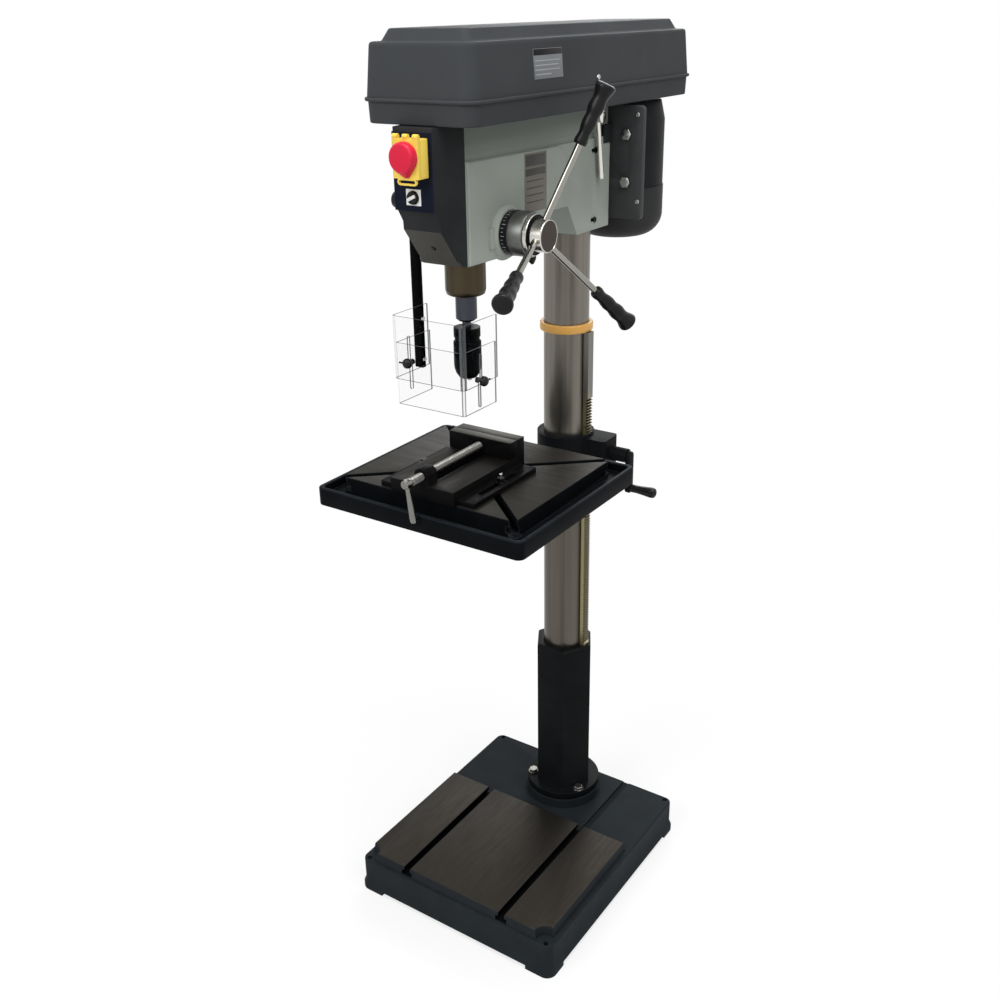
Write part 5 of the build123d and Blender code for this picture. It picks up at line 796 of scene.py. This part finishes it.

# Motor. A black induction motor hung behind the head on a thick plate that slides on two rods, with
# a pressed fan cover underneath; small plated screws sit beside the two large bolts.
# Motor paint: charcoal black, half matt; the fan cover is a shade paler, and the plate paler still
# with painted light where the head shades it.
motor_paint = coated("charcoal_motor_paint", "#1e1f20", "#232526", "#353738", 0.5, 1.4, 0.06, 0.06)
fan_paint = coated("pressed_fan_cover_paint", "#2e2f2e", "#343534", "#454645", 0.5, 1.4, 0.06, 0.06)
plate_light_paint = coated("charcoal_plate_with_painted_light", "#404142", "#454647", "#535455", 0.5, 1.4, 0.06, 0.06)
refined("motor_plate", "motor_plate_painted", 2, plate_light_paint)
refined("motor_body", "motor_body_painted", 2, motor_paint)
refined("motor_fan_cover", "motor_fan_cover_painted", 1, fan_paint)
refined("motor_bolts", "motor_bolts_plated", 0.8, bright_zinc)
dress(cut_steel, "slide_rods", "motor_rotor")
screws = [turned(pan_screw, (x, 250, z), (0, -1, 0), 24) for x, z in ((118, 1474), (114, 1634))]
settle(joined(*screws), "motor_plate_screws", "motor", "bright_steel", bright_zinc)

# Belt tension lever. A chromed tapered rod on the hub of a cross shaft, beside a black clamp block
# that guides the motor's slide.
# Chrome: near-white mirror with dark lines where it meets the dark parts round it.
chrome = bare_metal("chromed_steel", "#e2e0d8", "#cbc9c2", 0.12, (200, 200, 200), 0.4, 0.0006)
lever_place, lever_lean = Vector((73, 170, 1636)), radians(8.5)
lever_down = Vector((0, sin(lever_lean), -cos(lever_lean)))
rod = [(0, 0), (4, 0), (4.3, 20), (5.2, 105), (5.2, 111), (4.2, 113.4), (0, 114)]
lever = joined(round_edges(copied("tension_lever"), 0.8), turned(rod, lever_place, lever_down, 32))
stand_in(lever, "tension_lever_chromed", "tension_lever", chrome)
clamp = block((60, 208, 1584), (67, 240, 1618), 2, 3)
settle(clamp, "motor_slide_clamp", "stand", "black_paint", motor_paint)

# Quill, spindle and chuck. The quill and spindle are ground steel, and the keyless chuck is
# blackened, with a gripping ring above a long sleeve.
# Oiled quill steel is a warm brown-grey, the spindle nose a cold blue-grey; both are banded.
quill_steel = bare_metal("oiled_quill_steel", "#4c4435", "#332d23", 0.34, (14, 14, 400), 0.6)
spindle_steel = bare_metal("blued_spindle_steel", "#494b53", "#2e2f35", 0.34, (10, 10, 400), 0.6)
# Blackened steel under oil: almost black, with a soft shine.
chuck_black = coated(
    "blackened_chuck_steel", "#040405", "#070708", "#18181b", 0.36, 1.2, 0.02, 0.03
)
spindle_y = -159
quill_low, quill_lip, quill_bevel = 1365, 30.9, 9
lip_room, wall_room, chamfer_low, chamfer_high = 31, 35, 3, 5
bm = copied("quill")
for vert in bm.verts:
    away = Vector((vert.co.x, vert.co.y - spindle_y))
    if vert.co.z < quill_low + 0.5 and away.length > lip_room:
        away *= quill_lip / away.length
        vert.co.x, vert.co.y = away.x, spindle_y + away.y
    elif chamfer_low < vert.co.z - quill_low < chamfer_high and away.length > wall_room:
        vert.co.z = quill_low + quill_bevel
stand_in(bm, "quill_ground", "quill", quill_steel)
dress(spindle_steel, "spindle")
dress(cut_steel, "quill_bearings", "pinion_shaft", "return_spring")
dress(cut_steel, "chuck_jaw_1", "chuck_jaw_2", "chuck_jaw_3")
refined("chuck_body", "chuck_body_blackened", 1.6, chuck_black, segments=3)
sleeve = [
    (18.1, 1288.7), (22.4, 1288.7), (22.4, 1282), (24.4, 1280.6), (25, 1279.4), (25, 1274),
    (24.4, 1273.4), (24.4, 1272.4), (25, 1271.8), (25, 1238), (24.3, 1231), (21.5, 1222.5),
    (16.2, 1214.6), (15, 1214), (11, 1214), (18.1, 1231.7), (18.1, 1288.7),
]
sleeve = turned(sleeve, (0, spindle_y, 0), steps=64)
stand_in(sleeve, "chuck_sleeve_blackened", "chuck_sleeve", chuck_black)

# Feed handle. A chromed hub with a capped face carries three leaning chromed rods with moulded wavy
# grips; behind it turns the depth dial, a satin ring with a black scale band, which a knob locks.
# Dial paint: black and half matt, with white filled scale lines.
dial_paint = coated("black_dial_paint", "#141415", "#1a1a1b", "#2f2f30", 0.45, 1.2, 0.03, 0.08)
# Satin steel: mid grey with fine rings round the axis.
satin_steel = bare_metal("satin_steel", "#6d6f6c", "#565855", 0.4, (0.9, 14, 14), 0.6)
# The hub's cap is a flat dull brown-grey.
cap_paint = coated("brown_grey_cap_enamel", "#47403c", "#423b37", "#564f4b", 0.5, 1.6, 0.03, 0.08)
# The hub is chromed too, but brushed, so that it mirrors softly.
hub_chrome = bare_metal("brushed_chrome", "#d2d0c8", "#c6c4bc", 0.22, (300, 300, 300), 0.3, 0.0002)
feed_place = Vector((0, -113, 1470))
collar = [(40.6, 48), (48, 48), (49, 53), (48.4, 54.5), (42, 64.6), (40.6, 65.6), (40.6, 48)]
collar = turned(collar, feed_place, (1, 0, 0), 72)
settle(collar, "feed_boss_collar", "stand", "head_paint", head_paint)
hub = [
    (0, 110.6), (34, 110.6), (35, 111.4), (35, 116.8), (34.2, 117.6), (25.6, 117.6), (25, 118.2),
    (25, 120.4), (25.8, 120.9), (27.3, 121), (28, 121.8), (28, 141.6), (27.2, 142.7), (26.2, 143),
    (26, 142.6), (0, 142.6),
]
hub = turned(hub, feed_place, (1, 0, 0), 64)
cap_face, cap_radius, groove_from, groove_to, groove_radius = 142.5, 26, 117.5, 120.95, 34


def from_axis(at):
    """How far a point lies from the axis of the feed handle."""
    return (at - feed_place).yz.length


finish_faces(hub, 1, lambda at, out: at.x > cap_face and from_axis(at) < cap_radius)
finish_faces(
    hub, 2, lambda at, out: groove_from < at.x < groove_to and from_axis(at) < groove_radius
)
stand_in(hub, "feed_hub_chromed", "feed_hub", hub_chrome, cap_paint, dial_paint)
# The rods' chrome is painted darker, a painted reflection of the dark machine that they mirror
# between two bright edges.
rod_chrome_dark_reflection = bare_metal("chrome_painted_dark_reflection", "#9a9891", "#807e78", 0.14, (200, 200, 200), 0.5, 0.0006)
spoke_first, spoke_lean, spoke_root, spoke_root_x = 73.5, 0.35, 16, 127
stretch = hypot(1, spoke_lean)
spoke_reach, grip_from, grip_to = 226, 152, 249
spoke_length, grip_start, grip_end = (
    (far - spoke_root) * stretch for far in (spoke_reach, grip_from, grip_to)
)
grip_wave = [
    (0.0, 5.8), (0.0, 10.2), (0.02, 11.4), (0.06, 11.6), (0.11, 10.9), (0.16, 9.9), (0.21, 10.3),
    (0.28, 11.8), (0.36, 12.7), (0.42, 12.1), (0.47, 11.4), (0.52, 12.2), (0.58, 13.5),
    (0.64, 13.9), (0.70, 13.0), (0.75, 12.5), (0.81, 13.2), (0.87, 15.4), (0.92, 17.1),
    (0.955, 17.4), (0.98, 16.2), (0.995, 13), (1.0, 8), (1.0, 0),
]
grip = [(radius, grip_start + share * (grip_end - grip_start)) for share, radius in grip_wave]
rod = [(0, 0), (5.8, 0), (5.8, grip_start - 3), (5.8, spoke_length - 0.6), (0, spoke_length)]
rods, grips = [], []
for number in range(3):
    angle = radians(spoke_first + 120 * number)
    out = Vector((0, cos(angle), sin(angle)))
    start = feed_place + Vector((spoke_root_x, 0, 0)) + out * spoke_root
    rods.append(turned(rod, start, out + Vector((spoke_lean, 0, 0)), 32))
    grips.append(turned(grip, start, out + Vector((spoke_lean, 0, 0)), 40))
stand_in(joined(*rods), "feed_spokes_chromed", "feed_spokes", rod_chrome_dark_reflection)
stand_in(joined(*grips), "feed_grips_moulded", "feed_grips", black_plastic)
band_end, dial_radius, bore_room, tick_start, tick_count = 81.5, 38.5, 20, 70, 12
dial = [
    (17, 66.4), (36.8, 66.4), (38.2, 67), (38.5, 67.8), (38.5, 80.6), (37.6, band_end),
    (37.6, 82.2), (38.3, 82.8), (38.3, 107.6), (37.4, 109.6), (36, 110.3), (17, 110.3), (17, 66.4),
]
dial = turned(dial, feed_place, (1, 0, 0), 72)
finish_faces(dial, 1, lambda at, out: at.x > band_end and from_axis(at) > bore_room)
ticks = []
for length, angle in ((7, 0), (4, 10), (4, 20)):
    low = (tick_start, -0.5, dial_radius - 0.4)
    high = (tick_start + length, 0.5, dial_radius + 0.12)
    tick = block(low, high, 0.1)
    finish_faces(tick, 2)
    swung(tick, angle, "X")
    bmesh.ops.spin(
        tick, geom=tick.verts[:] + tick.edges[:] + tick.faces[:], cent=(0, 0, 0), axis=(1, 0, 0),
        angle=2 * pi * (tick_count - 1) / tick_count, steps=tick_count - 1, use_duplicate=True,
    )
    bmesh.ops.translate(tick, vec=feed_place, verts=tick.verts)
    ticks.append(tick)
stand_in(
    joined(dial, *ticks), "depth_dial_marked", "depth_dial", dial_paint, satin_steel, foil_line
)
lock_x, lock_turn, lock_stem = 100.3, radians(285), 41.3
lock_out = Vector((0, cos(lock_turn), sin(lock_turn)))
lock = [
    (0, 34), (3, 34), (3, 38.8), (5.2, 38.8), (5.2, 41), (7.4, 41.4), (8.2, 42.4), (8.2, 45),
    (6.6, 48.5), (4.4, 52.5), (2.6, 55), (0, 55.8),
]
lock = turned(lock, feed_place + Vector((lock_x, 0, 0)), lock_out, 32)
finish_faces(lock, 1, lambda at, out: from_axis(at) < lock_stem)
stand_in(lock, "dial_lock_knob_moulded", "dial_lock_knob", black_plastic, chrome)
refined("spring_housing", "spring_housing_painted", 1.5, iron_paint)

# Chuck guard. Two clear sheets bent to a box, one sliding behind the other, on a black bar that
# hangs from a pivot knob; two small knobs with cross pins clamp the sliding sheet in its slots.
# Bar enamel: deep black, half matt.
bar_enamel = coated("deep_black_enamel", "#040405", "#060607", "#131314", 0.5, 1.2, 0.03, 0.02)
refined("guard_bar", "guard_bar_painted", 1.2, bar_enamel)
refined("guard_pivot_knob", "guard_pivot_knob_moulded", 1.5, black_plastic)
nuts = [
    hex_screw((-72.6, -192, height), (1, 0, 0), flats=8, head=2.9) for height in (1319, 1244)
]
settle(joined(*nuts), "guard_bar_nuts", "chuck_guard", "bright_steel", bright_zinc)
knob = [(0, 0), (6.5, 0), (8.6, 2), (9, 5), (8.2, 8.6), (5.6, 11.2), (2.6, 12), (0, 12)]
knob_skin, knob_room = 0.1, 30
knobs = [copied("guard_knobs")]
pin = [(0, 0), (1.6, 0), (1.6, 16.6), (1.1, 17.2), (0, 17.2)]
for seat, out, pin_way in (
    (Vector((-37.5, -280, 1265)), Vector((0, -1, 0)), Vector((-1, 0, 0))),
    (Vector((79, -229, 1238)), Vector((1, 0, 0)), Vector((0, 1, 0))),
):
    outside = [
        vert for vert in knobs[0].verts
        if (vert.co - seat).dot(out) > -knob_skin and (vert.co - seat).length < knob_room
    ]
    bmesh.ops.delete(knobs[0], geom=outside, context="VERTS")
    knobs.append(turned(knob, seat, out, 32))
    knobs.append(turned(pin, seat + out * 6, pin_way, 16))
stand_in(joined(*knobs), "guard_knobs_moulded", "guard_knobs", black_plastic)


# Polycarbonate sheet: its faces almost vanish, its cut edges and bends gather light in lines.
def clear_sheet(name, colour, alpha):
    """Clear plastic of one tint, with a slightly uneven gloss in clouds of about 17 mm."""
    haze_size = 50 / 3
    material, tree, shader, place = finish_of(name, 0.03)
    haze = {"Vector": place, "Scale": 1000 / haze_size, "Detail": 3.0}
    haze = add(tree, "TexNoise", haze).outputs["Fac"]
    gloss = {"Value": haze, "To Min": 0.04, "To Max": 0.14}
    tree.links.new(add(tree, "MapRange", gloss).outputs[0], shader.inputs["Roughness"])
    shader.inputs["Base Color"].default_value = linear(colour)
    shader.inputs["Alpha"].default_value = alpha
    return material


pane = clear_sheet("clear_polycarbonate", "#24282a", 0.012)
pane_edge = clear_sheet("cut_polycarbonate_edge", "#5a5d5f", 0.85)
pane_bend = clear_sheet("bent_polycarbonate", "#8a8c90", 0.14)
sheet_back, slots_end, side_front, side_back = -181, 60, -268, -190


def cut_edge(at, out):
    """True on the rims of the sheet, on its back ends and round the slots."""
    rim = abs(out.z) > 0.15 or (out.y > 0.9 and at.y > sheet_back)
    front_slot = abs(out.x) > 0.5 and abs(at.x) < slots_end
    side_slot = abs(out.y) > 0.5 and abs(at.x) > slots_end and side_front < at.y < side_back
    return rim or front_slot or side_slot


def bend_line(at, out):
    """True on the first and last strip of the right-hand bend, which faces the light."""
    lean = min(abs(out.x), abs(out.y))
    return at.x > 0 and abs(out.z) < 0.1 and 0.05 < lean < 0.42


for node in ("guard_upper_shield", "guard_lower_shield"):
    bm = copied(node)
    finish_faces(bm, 2, lambda at, out: abs(out.z) < 0.1 and min(abs(out.x), abs(out.y)) > 0.05)
    finish_faces(bm, 1, lambda at, out: cut_edge(at, out) or bend_line(at, out))
    stand_in(bm, node + "_clear", node, pane, pane_edge, pane_bend)
